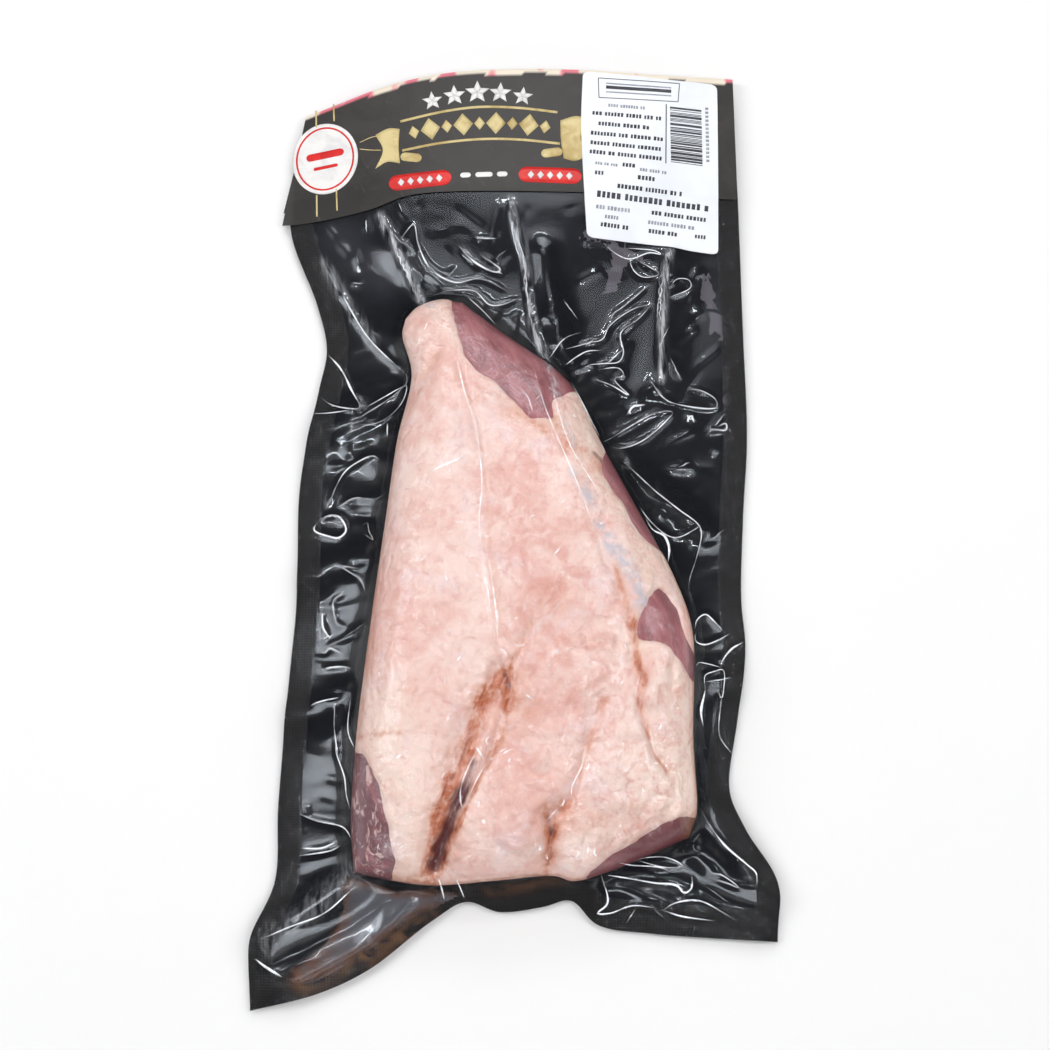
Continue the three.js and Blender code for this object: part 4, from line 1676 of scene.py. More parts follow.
@dataclass
class Beef:
    """The cut of beef: lean meat with its fat cap."""

    form: PackForm
    lean_cells: Cells = (120, 190)
    fat_cells: Cells = (168, 250)
    lip: float = 3.0
    lip_drop: float = 2.1
    lean_sink: float = 1.3
    side_pull: float = 0.35

    def _laid(self, cells: Cells) -> tuple[Array, Array, Array, Array, Array]:
        """A lattice over the beef.

        Args:
            cells: cells across and along.

        Returns:
            x, y, the beef's top, the bed it lies in, and the depth inside the fat's edge.
        """
        x, y = self.form.outlines["beef"].grid(cells, self.side_pull).reshape(-1, 2).T
        depth = np.maximum(depth_inside(x, y, self.form.beef_ring), 0)
        top = self.form.beef_top(x, y, depth)
        bed = self.form.pouch_top(x, y, depth) + GAP
        wander = 1.1 * self.form.noises[3].layered(x, y, 6, 3)
        return x, y, top, bed, depth_inside(x, y, self.form.fat_ring) + wander

    def lean(self) -> None:
        """The lean meat, which shows where the fat has been trimmed away."""
        x, y, top, bed, inside_fat = self._laid(self.lean_cells)
        fibres = self.form.noises[4].layered(x * 0.93 + y * 0.37, (y * 0.93 - x * 0.37) / 7, 2.6, 2)
        sink = self.lean_sink + (FAT_THICK + GAP - self.lean_sink) * ease(inside_fat, 0.4, 4.5)
        height = np.maximum(top - sink + 0.35 * fibres, bed + 0.05)
        depth = depth_inside(x, y, self.form.beef_ring)
        low_left = ease(-y, 90, 105)
        marks = {
            # Darker within a few millimetres of the beef's outline as painted side shade, and darker in the
            # near right corner.
            "deep": np.maximum(0.6 * (1 - ease(depth, 1, 5)), 0.9 * ease(x, 30, 50) * ease(-y, 122, 130)),
            "dusk": ease(-x, 30, 50) * low_left,
            "fleck": 0.2 + 0.8 * ease(-x, 40, 52) * low_left,
            "brown": ease(x, 66, 71) * ease(-y, 121, 126),
        }
        piece = make_piece("lean_meat", slab(x, y, height, bed, self.lean_cells), marks)
        settle(piece, LeanFinish(), "lean", "beef_lean")

    def fat(self) -> None:
        """The fat cap, with its soft trimmed lip."""
        x, y, top, bed, inside = self._laid(self.fat_cells)
        drop = self.lip_drop * np.where(inside < self.lip, (1 - inside / self.lip) ** 2, 0)
        upper = np.maximum(top - drop, bed + 0.12)
        lower = np.maximum(np.minimum(top - FAT_THICK, upper - 0.4), bed + 0.1)
        upper = np.maximum(upper, lower + 0.02)
        wander = 0.7 * self.form.noises[1].layered(x, y, 6, 3)
        rim = 0.55 * (1 - ease(depth_inside(x, y, self.form.beef_ring), 0, 3.2)) * ease(-y, -20, 40)
        marks = painted(x, y, wander, stain=STAINS, blood=BLOOD, silver=SILVER, cream=CREAM, pink=PINK)
        marks["stain"] = np.maximum(marks["stain"], rim)
        marks["rough"] = ease(x + 0.25 * y, -24, 6)
        skin = slab(x, y, upper, lower, self.fat_cells, inside > -self.lip)
        settle(make_piece("fat_layer", skin, marks), FatFinish(), "fat", "fat_cap")

    def build(self) -> None:
        """Makes both pieces."""
        self.lean()
        self.fat()


# ---- the pouch ----

# Grey patches painted on the back film as the reflection where the front film lifts off it, then a paler
# smooth patch of painted dim reflection.
PAINTED_SHEEN = lines(
    (0.9, 6, 34, 125, 44, 122, 48, 116),
    (0.75, 3.5, 46, 112, 42.4, 102),
    (0.8, 4.5, 82, 106, 85, 98, 90, 84),
    (0.6, 2, 91, 63, 91, 52),
)
PAINTED_DIM_SHEEN = lines(
    (0.8, 9, -76, 124, -64, 112, -58, 104),
    (0.4, 7, 4, 126, 20, 128),
)
BROWN_SEEP = lines(
    (0.35, 2.5, 20, -151, -12, -157, -22, -160),
    (0.9, 4.5, -36, -166, -52, -178, -68, -185, -84, -193),
)
BUBBLES = lines(
    (0.35, 2.6, -9.4, -97, -12.5, -105.3, -15.7, -112),
    (0.4, 1.8, 13.7, -129.6, 17, -125),
)
MILKY = BUBBLES + tuple(Line(0.75, 1.5, path) for path in GATHERS) + lines(
    (0.35, 2.5, -84, 113, -72, 93, -62, 77),
    (0.25, 5, -66, -150, -80, -163, -99, -176),
)


@dataclass
class Pouch:
    """The pouch: black back film and clear front film, sealed together round the edge."""

    form: PackForm
    back_cells: Cells = (150, 300)
    front_cells: Cells = (222, 428)
    film_thick: float = 0.35
    seal_reach: Point = (8.5, 10.0)
    near_seal_reach: Point = (11.0, 12.5)
    bundle: int = 6
    glints: int = 260

    def _sealed(self, x: Array, y: Array, edge: Array) -> Array:
        """1 where the two films are sealed together, 0 inside."""
        from_near = y - np.interp(x, *self.form.outlines["pouch"].near.samples.T)
        return np.maximum(1 - ease(edge, *self.seal_reach), 1 - ease(from_near, *self.near_seal_reach))

    def back(self) -> None:
        """The black back film, which the beef is bedded in."""
        x, y = self.form.outlines["pouch"].grid(self.back_cells, 0.15).reshape(-1, 2).T
        depth, edge = self.form.depths(x, y)
        upper = self.form.pouch_top(x, y, depth, edge) + self.form.margin.read(x, y)
        thick = self.film_thick + (FILM - self.film_thick) * ease(depth, -8, 6)
        creep = 0.35 * np.maximum(self.form.noises[5].layered(x, y, 14, 3), 0) * ease(depth, 0, 10)
        lower = np.maximum(upper - thick + creep, 0.0)
        wander = 0.3 * self.form.noises[2].layered(x, y, 9, 3)
        # The grey patches marked here are painted reflection.
        marks = painted(x, y, wander, haze=PAINTED_SHEEN, smoke=PAINTED_DIM_SHEEN, brown=BROWN_SEEP)
        marks = {name: np.append(mark, 0 * mark) for name, mark in marks.items()}
        marks["seal"] = self._sealed(x, y, edge)
        piece = make_piece("back_film", slab(x, y, upper, lower, self.back_cells), marks)
        settle(piece, BackFilmFinish(), "film", "pouch")

    def front(self) -> None:
        """The clear front film, pulled tight over the beef."""
        x, y = self.form.outlines["pouch"].grid(self.front_cells).reshape(-1, 2).T
        depth, edge = self.form.depths(x, y)
        # Painted shade: along the near end and on the steep wall round the beef the film's mirroring is
        # cut.
        shaded_near_end = ease(x, -30, -16) * (1 - ease(x, 26, 38)) * ease(-y, 146, 152)
        wander = 0.4 * self.form.noises[0].layered(x, y, 6, 3)
        marks = painted(x, y, wander, milky=MILKY) | {
            "tight": ease(depth, 0, 6),
            "wall": np.maximum(ease(depth, -8, -1) * (1 - ease(depth, 0.5, 5)), shaded_near_end),
            "seal": self._sealed(x, y, edge),
        }
        skin = np.column_stack([x, y, self.form.film.read(x, y)]), lattice_faces(self.front_cells)
        self._clear(make_piece("front_film", skin, marks, crisp=180), FrontFilmFinish(), "pouch")

    @staticmethod
    def _clear(piece: bpy.types.Object, finish: Finish, *nodes: str) -> None:
        """Settles a clear piece of film, which casts no shadow and sends no soft light on."""
        piece.visible_shadow = piece.visible_diffuse = False
        settle(piece, finish, "film", *nodes)

    def creases(self) -> None:
        """Painted highlight lines along the film's sharpest creases, standing for lamps mirrored in them.
        """
        strips = Strips(self.form.film.read)
        random = np.random.default_rng(self.form.seed + 50)
        for crease in FILM_CREASES + BEEF_CREASES:
            strips.add(Curve(crease.path).run(1.2), 0.72 * crease.width, 0.2, 0.7 + 0.4 * crease.strength)
        self._gather_lines(strips, random)
        self._pleat_lines(strips, random)
        self._glint_lines(strips, random)
        self._clear(strips.piece("film_creases"), PaintedHighlightFinish())

    def _gather_lines(self, strips: Strips, random: np.random.Generator) -> None:
        """Adds loose bundles of painted highlight lines along the gathers.

        Args:
            strips: what they are added to.
            random: draws their places and sizes.
        """
        for gather in GATHERS:
            for _ in range(self.bundle):
                start, end = sorted(random.uniform(0, 1, 2))
                if end - start < 0.3:
                    continue
                path = Curve(gather).at(np.linspace(start, end, 30)) + random.normal(0, 0.25, (30, 2))
                path[:, 0] += random.normal(0, 1.1)
                strips.add(path, 0.4, 0.2, random.uniform(0.3, 0.8))

    def _pleat_lines(self, strips: Strips, random: np.random.Generator) -> None:
        """Adds a painted highlight line along some of the higher pleats.

        Args:
            strips: what they are added to.
            random: draws their places and sizes.
        """
        for pleat in self.form.pleats:
            if pleat.height < 0.3 or random.random() < 0.7:
                continue
            low, high = pleat.ends()
            share = np.linspace(random.uniform(0.05, 0.4), random.uniform(0.6, 0.95), 8)[:, None]
            path = low + (high - low) * share + random.normal(0, 0.12, (8, 2))
            strips.add(path, random.uniform(0.2, 0.36), 0.16, random.uniform(0.2, 0.9))

    def _glint_lines(self, strips: Strips, random: np.random.Generator) -> None:
        """Adds short curved painted glints over the beef, denser towards the near end.

        Args:
            strips: what they are added to.
            random: draws their places and sizes.
        """
        ring = self.form.beef_ring
        for x, y in random.uniform(ring.min(0), ring.max(0), (self.glints, 2)):
            depth = float(depth_inside(np.array(x), np.array(y), ring))
            if depth < 5 or random.random() > 0.35 + 0.65 * float(ease(-y, 10, 80)):
                continue
            heading, bend = random.normal(1.2, 0.7), random.normal(0, 0.5)
            along = random.uniform(0.6, 2.6) * np.linspace(-1, 1, 7)
            turn = heading + bend * along / 2.6
            path = np.stack([x + along * np.cos(turn), y + along * np.sin(turn)], -1)
            strips.add(path, random.uniform(0.2, 0.45), 0.14, random.uniform(0.25, 0.9))

    def build(self) -> None:
        """Makes the films and the painted highlight lines on their creases."""
        self.back()
        self.front()
        self.creases()


@dataclass
class Juice:
    """Meat juice that has gathered between the films at the near end."""

    form: PackForm
    outline: Path = pairs(-67, -151, -45, -156, -29, -155, -20, -157, -8, -156, 10, -153, 18, -153,
        6, -158, -14, -158, -24, -163, -36, -165, -50, -174, -68, -186, -86, -194, -90, -188, -78, -178,
        -70, -166)
    cell: float = 0.9

    def build(self) -> None:
        """Makes the pool of juice."""
        ring = Curve(self.outline, closed=True).run(2.0)[:-1]
        (left, near), (right, far) = ring.min(0) - 2, ring.max(0) + 2
        columns, rows = int((right - left) / self.cell), int((far - near) / self.cell)
        x, y = np.meshgrid(np.linspace(left, right, columns + 1), np.linspace(near, far, rows + 1))
        x, y = x.ravel(), y.ravel()
        inside = depth_inside(x, y, ring) + 1.5 * self.form.noises[1].layered(x, y, 7, 3)
        beef, edge = self.form.depths(x, y)
        lower = self.form.pouch_top(x, y, beef, edge) + self.form.margin.read(x, y) + 0.06
        upper = np.maximum(self.form.film.read(x, y) - 0.08, lower + 0.05)
        upper = lower + (upper - lower) * ease(inside, -0.6, 1.5) + 0.02
        there = (inside > -0.6) & (edge > 2.5) & (beef < 0.5)
        marks = {
            "thick": ease(inside, -0.6, 3) * (0.76 - 0.66 * ease(x, -30, -14)),
            "rust": 1 - ease(inside, 0.5, 5.5) * ease(x, -92, -60) * (1 - ease(x, -24, -10)),
        }
        skin = slab(x, y, upper, lower, (columns, rows), there)
        settle(make_piece("meat_juice", skin, marks), JuiceFinish(), "film")


# ---- the printed band and the label ----


class Print:
    """Flat printed shapes on one surface, gathered by ink."""

    THICK = 0.05
    LIFT = 0.03

    def __init__(self, surface: Surface) -> None:
        """Keeps the height of the surface that is printed."""
        self.surface = surface
        self.shapes: dict[Ink, list[Skin]] = {}

    def pen(self, ink: Ink, lift: float = LIFT) -> "Print":
        """Takes an ink, and how far what it prints lies above the surface."""
        self.ink, self.lift = ink, lift
        return self

    def lattice(self, grid: Array) -> None:
        """Prints rows by columns of x and y as one closed shape."""
        x, y = grid.reshape(-1, 2).T
        low = self.surface(x, y) + self.lift
        skin = slab(x, y, low + self.THICK, low, (grid.shape[1] - 1, grid.shape[0] - 1))
        self.shapes.setdefault(self.ink, []).append(skin)

    def disc(self, middle: Point, reach: Point, cells: int = 26) -> None:
        """Prints a filled ellipse.

        Args:
            middle: its middle.
            reach: its half axes.
            cells: cells across.
        """
        a, b = np.meshgrid(*[np.linspace(-1, 1, cells + 1)] * 2)
        grid = np.stack([a * np.sqrt(1 - b * b / 2), b * np.sqrt(1 - a * a / 2)], -1)
        self.lattice(np.array(middle) + grid * reach)

    def ring(self, middle: Point, reach: Point, width: float) -> None:
        """Prints a thin elliptic ring in two halves.

        Args:
            middle: its middle.
            reach: its half axes.
            width: its width.
        """
        for start in (0, math.pi):
            turn = np.linspace(start, start + math.pi, 41)
            way = np.stack([np.cos(turn), np.sin(turn)], -1)
            sides = [np.array(middle) + way * (np.array(reach) + part) for part in (width / 2, -width / 2)]
            self.lattice(np.stack(sides))

    def line(self, path: Path, width: float) -> None:
        """Prints a line of a width along a smooth path."""
        run = Curve(path).run(1.5)
        side = 0.5 * width * sideways(run)
        self.lattice(np.stack([run - side, run + side]))

    def bar(self, middle: Point, size: Point, tilt: float = 0.0) -> None:
        """Prints a bar with round ends.

        Args:
            middle: its middle.
            size: its length and height.
            tilt: its turn in degrees.
        """
        radius, straight = size[1] / 2, size[0] / 2 - size[1] / 2
        t = size[0] / 2 * np.sin(np.linspace(-0.5, 0.5, 25) * math.pi)
        past = np.maximum(np.abs(t) - straight, 0)
        half = np.sqrt(np.maximum(radius**2 - past**2, 0.0004))
        rows = np.linspace(-1, 1, 5)[:, None]
        self._turned(np.stack([t + 0 * rows, half * rows], -1), middle, tilt)

    def lozenge(self, middle: Point, size: Point, tilt: float = 0.0) -> None:
        """Prints a four-cornered lozenge of a width and height, turned by a tilt in degrees."""
        a, b = np.meshgrid(*[np.linspace(-0.5, 0.5, 5)] * 2)
        self._turned(np.stack([(a - b) * size[0] / 2, (a + b) * size[1] / 2], -1), middle, tilt)

    def star(self, middle: Point, reach: float, tilt: float = 0.0, notch: float = 0.45) -> None:
        """Prints a five-pointed star as five kites.

        Args:
            middle: its middle.
            reach: how far its points reach.
            tilt: its turn in degrees.
            notch: how far its inner corners reach, as a share.
        """
        a, b = (part[..., None] for part in np.meshgrid(*[np.linspace(0, 1, 4)] * 2))
        reaches = (notch * reach, reach, notch * reach)
        for point in range(5):
            angles = [math.pi * (0.5 + 0.4 * point + turn) for turn in (-0.2, 0, 0.2)]
            right, tip, left = [r * np.array([math.cos(t), math.sin(t)]) for r, t in zip(reaches, angles)]
            self._turned(a * (1 - b) * right + a * b * tip + b * (1 - a) * left, middle, tilt)

    def area(self, sides: Sides, cells: int = 10) -> None:
        """Prints a four-sided outline."""
        self.lattice(Patch(sides).grid((cells, cells)))

    def _turned(self, grid: Array, middle: Point, tilt: float) -> None:
        """Prints a lattice turned by a tilt and moved to a middle."""
        cos, sin = math.cos(math.radians(tilt)), math.sin(math.radians(tilt))
        self.lattice(grid @ np.array([[cos, sin], [-sin, cos]]) + np.array(middle))

    def pieces(self, prefix: str, slot: str) -> None:
        """Makes one piece for each ink.

        Args:
            prefix: the start of each piece's name.
            slot: the record's material slot.
        """
        for ink, shapes in self.shapes.items():
            starts = np.cumsum([0] + [len(points) for points, _ in shapes])
            points = np.vstack([points for points, _ in shapes])
            faces = np.vstack([faces + start for (_, faces), start in zip(shapes, starts)])
            name = f"{prefix}_{ink.name.lower()}"
            settle(make_piece(name, (points, faces), crisp=180), InkFinish(ink), slot)


@dataclass
class Band:
    """The printed band, folded over the pouch's far edge."""

    form: PackForm
    columns: int = 150
    front_rows: int = 44
    fold_rows: int = 8
    back_rows: int = 34
    inner: float = 1.2
    outer: float = 1.45
    fold_inset: float = FILM / 2 + GAP + HEADER_THICK
    panel_reach: float = 9.0
    raised: float = 0.1

    def surface(self, x: Array, y: Array) -> Array:
        """Height of the printed face."""
        ripple = 0.3 * (1 + self.form.noises[1].layered(x, y, 24, 2)) / 2
        return self.form.pouch_top(x, y) - FILM / 2 + self.outer + ripple

    def _face(self, reach: float) -> tuple[Array, Array]:
        """One face of the band.

        Args:
            reach: how far it lies from the pouch's middle.

        Returns:
            Its points, and how far each lies past the front's fold line.
        """
        u = np.linspace(0, 1, self.columns + 1)
        outline = self.form.outlines["band"]
        foot, edge = outline.near.at(u), outline.far.at(u)
        fold = edge[:, 1] - self.fold_inset
        rows, past = [], []
        for share in np.linspace(0, 1, self.front_rows + 1):
            x = foot[:, 0] + (edge[:, 0] - foot[:, 0]) * share
            y = foot[:, 1] + (fold - foot[:, 1]) * share
            rows.append(np.column_stack([x, y, self.surface(x, y) - self.outer + reach]))
            past.append(y - fold)
        middle = self.form.pouch_top(edge[:, 0], fold) - FILM / 2
        for turn in np.linspace(0.5, -0.5, self.fold_rows + 1)[1:-1] * math.pi:
            rise, ahead = reach * math.sin(turn), reach * math.cos(turn)
            rows.append(np.column_stack([edge[:, 0], fold + ahead, middle + rise]))
            past.append(np.full(len(u), 0.1))
        back_foot = foot[:, 1] + BACK_SHORTER
        for share in np.linspace(1, 0, self.back_rows + 1):
            x = foot[:, 0] + (edge[:, 0] - foot[:, 0]) * share
            y = back_foot + (fold - back_foot) * share
            rows.append(np.column_stack([x, y, self.form.pouch_top(x, y) - FILM / 2 - reach]))
            past.append(fold - y)
        return np.vstack(rows), np.concatenate(past)

    def sheet(self) -> None:
        """The folded film of the band."""
        upper, past = self._face(self.outer)
        lower, _ = self._face(self.inner)
        shows = 1.1 + 0.9 * self.form.noises[3].at(upper[:, 0] / 9, 0 * past)
        panel = ((past > -shows) & (past < self.panel_reach)).astype(float)
        rows = self.front_rows + self.fold_rows + self.back_rows
        skin = closed_skin(upper, lower, lattice_faces((self.columns, rows)))
        settle(make_piece("band_film", skin, {"panel": panel}), BandFinish(), "band", "header_band")

    def prints(self) -> None:
        """The gold, white and red print."""
        sheet = Print(self.surface)
        self._disc(sheet)
        self._ribbon(sheet)
        self._rows(sheet)
        sheet.pieces("band_print", "band")

    def _disc(self, sheet: Print) -> None:
        """The two pinstripes and the white disc over them.

        Args:
            sheet: what they are printed on.
        """
        for top, bottom in (((-88.6, 185), (-87, 134.6)), ((-80.8, 187.6), (-78, 136.8))):
            for start, end in ((0.0, 0.16), (0.8, 1.0)):
                stripe = [tuple(np.array(top) + (np.array(bottom) - top) * share) for share in (start, end)]
                sheet.pen(Ink.GOLD).line(stripe, 0.7)
        middle = (-84.0, 161.6)
        sheet.pen(Ink.WHITE).disc(middle, (14.8, 16.8))
        sheet.pen(Ink.RED, self.raised).ring(middle, (12.7, 14.7), 0.8)
        sheet.bar((-84, 163.4), (17, 3.4), 9)
        sheet.bar((-83.6, 157.6), (11, 1.5), 9)

    def _ribbon(self, sheet: Print) -> None:
        """The arched gold ribbon with its tails and cords.

        Args:
            sheet: what they are printed on.
        """
        for width, *path in ((1.2, -50.7, 178, -30.8, 182.4, -15.3, 184.2, 2.4, 183.5, 19, 181.4),
                             (1.2, -49.6, 163.8, -32.9, 166.9, -15.3, 168.5, 2.4, 168.1, 20, 166.2),
                             (0.4, -68.6, 168.6, -63, 171, -61, 171.2),
                             (0.4, -68.6, 165.4, -63, 164.6, -59, 164.4)):
            sheet.pen(Ink.GOLD).line(pairs(*path), width)
        tails = (
            Sides(left=pairs(-61.4, 155.4, -58.2, 164.4, -61.7, 171.9),
                  right=pairs(-50.4, 157.6, -51.2, 166, -50.9, 174.4),
                  near=pairs(-61.4, 155.4, -56, 158.6, -50.4, 157.6),
                  far=pairs(-61.7, 171.9, -56, 174.8, -50.9, 174.4)),
            Sides(left=pairs(21.6, 159, 20.4, 168, 20.2, 177.4),
                  right=pairs(32.2, 161, 29.2, 169.6, 33.2, 178.4),
                  near=pairs(21.6, 159, 27, 158, 32.2, 161),
                  far=pairs(20.2, 177.4, 27, 179.6, 33.2, 178.4)),
        )
        for tail in tails:
            sheet.pen(Ink.GOLD).area(tail)
        for x, y, tilt in ((-45.6, 160.4, -8), (16.4, 161.9, 8)):
            sheet.pen(Ink.GOLD).bar((x, y), (9.4, 4.2), tilt)
        for i, x in enumerate(np.linspace(-44.5, 13.5, 9)):
            arch, size = 176.3 - 0.0034 * (x + 11) ** 2, ((4.8, 6.4), (8.8, 10.8))[i % 2]
            sheet.pen(Ink.GOLD).lozenge((x, arch), size, -0.38 * (x + 11))

    def _rows(self, sheet: Print) -> None:
        """The white stars and the two red bars with their lozenges.

        Args:
            sheet: what they are printed on.
        """
        for x, y, reach in ((-36.6, 187.6, 4.7), (-26.8, 190, 5.2), (-16.6, 191.4, 5.7),
                            (-6.4, 191, 5.2), (3.6, 189.2, 4.7)):
            sheet.pen(Ink.WHITE).star((x, y), reach, -0.3 * (x + 16))
        for x, y, tilt in ((-41.4, 149.2, 5.5), (15.6, 151, -2)):
            sheet.pen(Ink.RED).bar((x, y), (27.6, 7.4), tilt)
            for place in np.linspace(-8.4, 8.4, 5):
                turn = math.radians(tilt)
                middle = (x + place * math.cos(turn), y + place * math.sin(turn))
                sheet.pen(Ink.WHITE, self.raised).lozenge(middle, (3.0, 3.8), tilt)
        for x, length in ((-21.5, 4.6), (-13.4, 7.6), (-5.4, 4.6)):
            sheet.pen(Ink.WHITE).bar((x, 151.4 + 0.02 * (x + 13)), (length, 2.4), 1.0)

    def build(self) -> None:
        """Makes the band and its print."""
        self.sheet()
        self.prints()


@dataclass(frozen=True)
class Row:
    """A row of printed marks on the label: its two ends, the marks' height and its ink."""

    start: Point
    end: Point
    height: float
    ink: Ink


LABEL_ROWS = (
    Row((41.5, 184.2), (59, 183.0), 1.5, Ink.FAINT),
    Row((34.4, 180.3), (66.4, 177.9), 1.9, Ink.DARK),
    Row((37, 175.2), (60, 173.4), 1.9, Ink.DARK),
    Row((33.6, 170.6), (66.2, 168.0), 1.9, Ink.DARK),
    Row((33.4, 166.0), (65.6, 163.2), 1.9, Ink.DARK),
    Row((33.0, 161.6), (66.2, 158.6), 1.9, Ink.DARK),
    Row((35.4, 156.4), (46, 155.3), 1.4, Ink.FAINT),
    Row((47.4, 155.6), (53, 155.0), 1.9, Ink.DARK),
    Row((55, 153.6), (67, 152.4), 1.5, Ink.FAINT),
    Row((35.2, 151.6), (39.2, 151.2), 1.9, Ink.DARK),
    Row((54, 149.6), (62.6, 148.8), 2.1, Ink.DARK),
    Row((45, 145.2), (74, 142.4), 2.0, Ink.DARK),
    Row((36, 141.2), (86.6, 136.0), 2.8, Ink.DARK),
    Row((35.6, 136.0), (52.6, 134.2), 1.8, Ink.FAINT),
    Row((60, 134.0), (84.0, 131.4), 1.9, Ink.DARK),
    Row((39.4, 131.8), (46.4, 131.0), 1.6, Ink.FAINT),
    Row((58.4, 129.8), (80, 127.6), 1.7, Ink.FAINT),
    Row((37.6, 128.2), (49.6, 126.8), 1.9, Ink.DARK),
    Row((58.6, 125.8), (71, 124.4), 1.9, Ink.DARK),
    Row((79, 124.2), (84.6, 123.6), 1.7, Ink.DARK),
)


@dataclass
class Label:
    """The white price label, half on the band and half on the film."""

    form: PackForm
    band: Band
    cells: Cells = (60, 78)
    thick: float = 0.16
    corner: float = 2.4
    slack: float = 0.12
    edge_pull: float = 0.45
    seed: int = 21

    def under(self, x: Array, y: Array) -> Array:
        """The label's underside.

        Args:
            x: places across.
            y: places along.

        Returns:
            Its height, stuck to the band and the film, curled and buckled.
        """
        on_band = 1 - self.form.before_band(x, y, -1.5, 2.5)
        pouch = self.form.pouch_top(x, y)
        film = np.maximum(self.form.film.read(x, y), pouch + self.form.film_gap)
        stuck = film + (np.maximum(self.band.surface(x, y) - film, 0)) * on_band
        curl = 0.5 * (1 - ease(depth_inside(x, y, self.form.label_ring), 0, 5))
        curl = curl * ease(self.form.noises[2].at(x / 14, y / 14), 0.1, 0.8)
        buckle = 0.22 * (1 + self.form.noises[4].layered(x, y, 13, 2)) / 2
        return stuck + self.slack + curl + buckle

    def surface(self, x: Array, y: Array) -> Array:
        """Height of the printed face."""
        return self.under(x, y) + self.thick

    def sheet(self) -> None:
        """The label's paper, with round corners."""
        patch = self.form.outlines["label"]
        across, along = (drawn(count, self.edge_pull) for count in self.cells)
        to_end = np.minimum(along, 1 - along) * patch.left.length
        round_off = np.maximum(self.corner**2 - np.maximum(self.corner - to_end, 0) ** 2, 0)
        inset = ((self.corner - np.sqrt(round_off)) / patch.near.length)[:, None]
        u = inset + across[None, :] * (1 - 2 * inset)
        x, y = patch.place(u, np.broadcast_to(along[:, None], u.shape)).reshape(-1, 2).T
        low = self.under(x, y)
        piece = make_piece("label_paper", slab(x, y, low + self.thick, low, self.cells))
        settle(piece, PaperFinish(), "label", "price_label")

    def prints(self) -> None:
        """The label's rows of plain marks, its frame and its stripes."""
        sheet = Print(self.surface)
        random = np.random.default_rng(self.seed)
        for row in LABEL_ROWS:
            self._row(sheet, row, random)
        corners = ((37.4, 188.6), (72.6, 187.2), (73.4, 196.0), (37.2, 198.0))
        for start, end in zip(corners, corners[1:] + corners[:1]):
            sheet.pen(Ink.DARK).line((start, end), 0.35)
        for share, ink in ((0.3, Ink.FAINT), (0.55, Ink.DARK), (0.75, Ink.FAINT)):
            low, high = 188.6 + share * 9.2, 187.4 + share * 8.6
            sheet.pen(ink).line(((40.6, low), (69.6, high)), 1.5 if ink is Ink.DARK else 0.6)
        sheet.pen(Ink.DARK).line(((67.3, 186.0), (66.6, 157.6)), 0.45)
        self._stripes(sheet, random)
        sheet.pieces("label_print", "label")

    def _row(self, sheet: Print, row: Row, random: np.random.Generator) -> None:
        """Prints a row of small plain blocks in groups.

        Args:
            sheet: what it is printed on.
            row: the row.
            random: draws the blocks' sizes and groups.
        """
        start, end = np.array(row.start), np.array(row.end)
        length = float(np.hypot(*(end - start)))
        ahead = (end - start) / length
        up = np.array([-ahead[1], ahead[0]])
        place, left_in_group = 0.0, int(random.integers(3, 9))
        while place < length - 1:
            wide = row.height * random.uniform(0.42, 0.62)
            tall = row.height * random.uniform(0.86, 1.0)
            base, top = start + ahead * place, start + ahead * place + up * tall
            sheet.pen(row.ink).lattice(np.array([[base, base + ahead * wide], [top, top + ahead * wide]]))
            left_in_group -= 1
            gap = row.height * (0.26 if left_in_group else 0.75)
            if not left_in_group:
                left_in_group = int(random.integers(2, 9))
            place += wide + gap

    def _stripes(self, sheet: Print, random: np.random.Generator) -> None:
        """Prints a stack of stripes of mixed widths, with a column of small blocks beside it.

        Args:
            sheet: what it is printed on.
            random: draws the stripes' widths and gaps.
        """
        height = 157.4
        while height < 184.6:
            wide = float(random.choice([0.3, 0.3, 0.55, 0.85, 1.1]))
            middle = height + wide / 2
            sheet.pen(Ink.DARK).line(((68.9, middle + 0.9), (82.9, middle - 0.4)), wide)
            height += wide + float(random.choice([0.3, 0.3, 0.55, 0.85]))
        for place in np.arange(159, 184, 1.9):
            sheet.pen(Ink.FAINT).lattice(np.array([[(84.6, y), (86, y)] for y in (place, place + 1.1)]))

    def build(self) -> None:
        """Makes the label and its print."""
        self.sheet()
        self.prints()


# ---- the studio ----


@dataclass(frozen=True)
class Lamp:
    """A soft box: its place, its width and length in metres, its power and its turn in degrees."""

    place: Triple
    size: Point
    power: float
    turn: float = 0.0


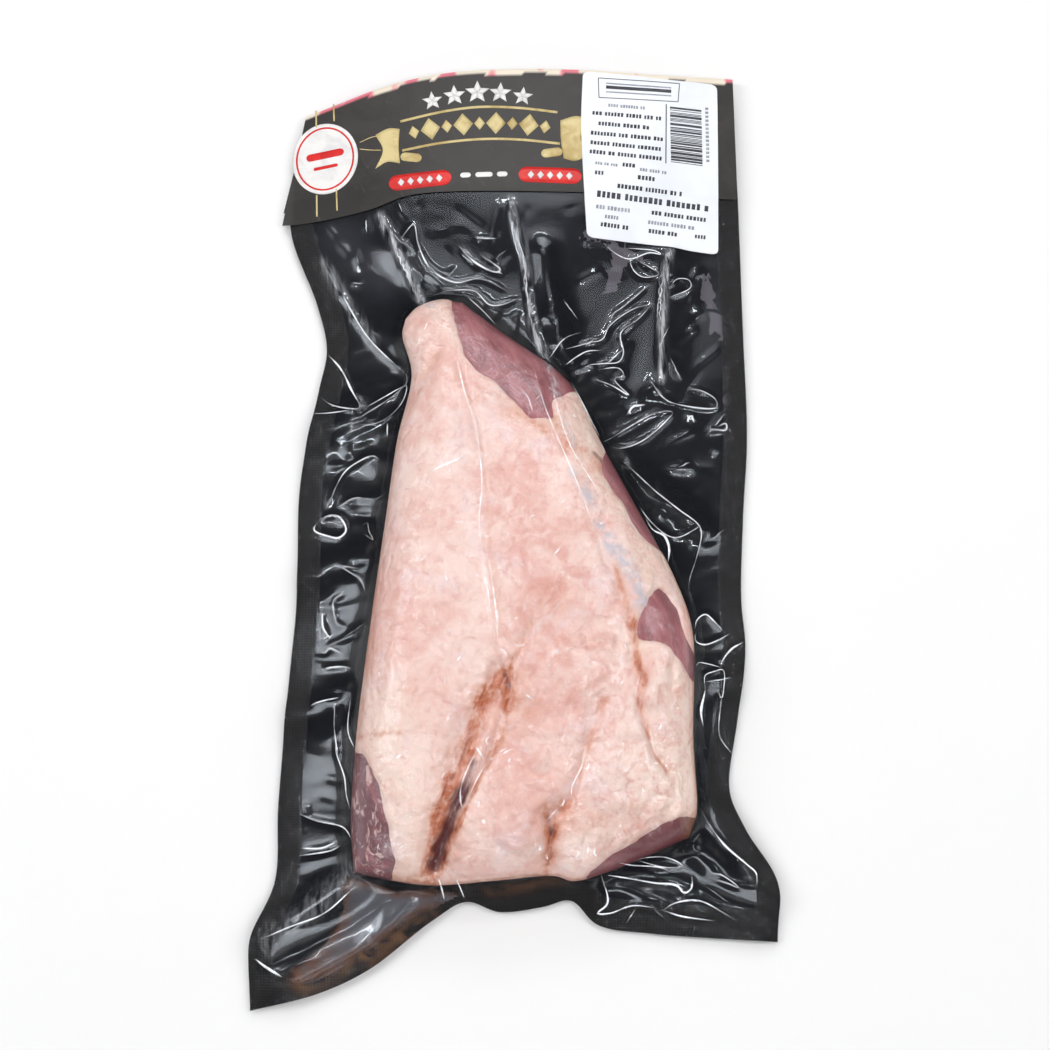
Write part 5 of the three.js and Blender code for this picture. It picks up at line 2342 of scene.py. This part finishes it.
@dataclass
class Studio:
    """The table, the lights and the camera."""

    aim: Triple = (0.00418, -0.0056, 0.012)
    eye: Triple = (0.00418, -0.1615, 0.7456)
    lens: float = 61.22
    sensor: float = 36.0
    table_size: float = 4.0
    table_drop: float = -0.0002
    sky: float = 0.14
    bounces: int = 5
    lamps: tuple[Lamp, ...] = (
        Lamp((-0.95, 0.1, 0.85), (0.5, 0.9), 4.2, 10),
        Lamp((0.95, 0.0, 0.85), (0.5, 0.9), 3.4, -10),
        Lamp((0.05, 1.05, 0.75), (1.1, 0.35), 3.6),
        Lamp((-0.05, -1.05, 0.6), (1.0, 0.3), 2.8),
        Lamp((0.0, 0.62, 1.15), (1.0, 0.6), 1.4),
        Lamp((-0.5, 0.1, 1.1), (0.03, 0.7), 1.6),
        Lamp((0.5, 0.05, 1.1), (0.03, 0.7), 1.6),
        Lamp((0.0, 0.8, 1.1), (0.9, 0.03), 1.7),
        Lamp((0.05, -0.5, 1.1), (0.9, 0.03), 1.6),
    )

    def table(self) -> None:
        """The plain pale table top."""
        shares = np.linspace(-0.5, 0.5, 9) * self.table_size
        x, y = (part.ravel() for part in np.meshgrid(shares, shares))
        points = np.column_stack([x, y, np.full(x.size, self.table_drop)])
        mesh = bpy.data.meshes.new("table_top")
        mesh.from_pydata(points.tolist(), [], lattice_faces((8, 8)).tolist())
        table = add_object("table_top", mesh)
        table.data.materials.append(TableFinish().material())

    @staticmethod
    def _fade_edges(light: bpy.types.AreaLight) -> None:
        """Makes a soft box fade from its middle to its edges.

        Args:
            light: the soft box.
        """
        light.use_nodes = True
        s = Shader(light)
        place = s.add("ShaderNodeSeparateXYZ", None,
                      {0: Value(s, s.add("ShaderNodeNewGeometry").outputs["Parametric"])})
        across, along = (Value(s, place.outputs[i]) * 2 - 1 for i in (0, 1))
        glow = (1 - across * across) * (1 - along * along) * 2.25
        light_node = s.add("ShaderNodeEmission", None, {"Strength": glow})
        s.add("ShaderNodeOutputLight", None, {"Surface": Value(s, light_node.outputs[0])})

    def lights(self) -> None:
        """The soft boxes and the pale sky."""
        for index, lamp in enumerate(self.lamps):
            data = bpy.data.lights.new(f"soft_box_{index}", "AREA")
            data.shape = "RECTANGLE"
            data.size, data.size_y = lamp.size
            data.energy = lamp.power
            self._fade_edges(data)
            light = add_object(data.name, data)
            self._aim(light, lamp.place)
            light.rotation_euler.rotate_axis("Z", math.radians(lamp.turn))
        world = bpy.data.worlds.new("studio")
        world.use_nodes = True
        background = world.node_tree.nodes["Background"]
        background.inputs["Color"].default_value = (1, 1, 1, 1)
        background.inputs["Strength"].default_value = self.sky
        bpy.context.scene.world = world

    def _aim(self, thing: bpy.types.Object, place: Triple) -> None:
        """Puts a lamp or the camera in a place and turns it to the pack."""
        thing.location = place
        thing.rotation_euler = (Vector(self.aim) - Vector(place)).to_track_quat("-Z", "Y").to_euler()

    def camera(self) -> None:
        """The camera, looking down at the pack."""
        data = bpy.data.cameras.new("camera")
        data.lens, data.sensor_width = self.lens, self.sensor
        scene = bpy.context.scene
        scene.camera = add_object("camera", data)
        self._aim(scene.camera, self.eye)
        scene.view_settings.view_transform = "Standard"
        scene.cycles.max_bounces, scene.cycles.diffuse_bounces = self.bounces, self.bounces // 2

    def build(self) -> None:
        """Makes the whole studio."""
        self.camera()
        self.table()
        self.lights()


def main() -> None:
    """Builds the pack and the studio round it."""
    logging.basicConfig(level=logging.INFO, format="%(message)s")
    form = PackForm()
    band = Band(form)
    for part in (Studio(), Beef(form), Pouch(form), Juice(form), band, Label(form, band)):
        part.build()


if __name__ == "__main__":
    main()
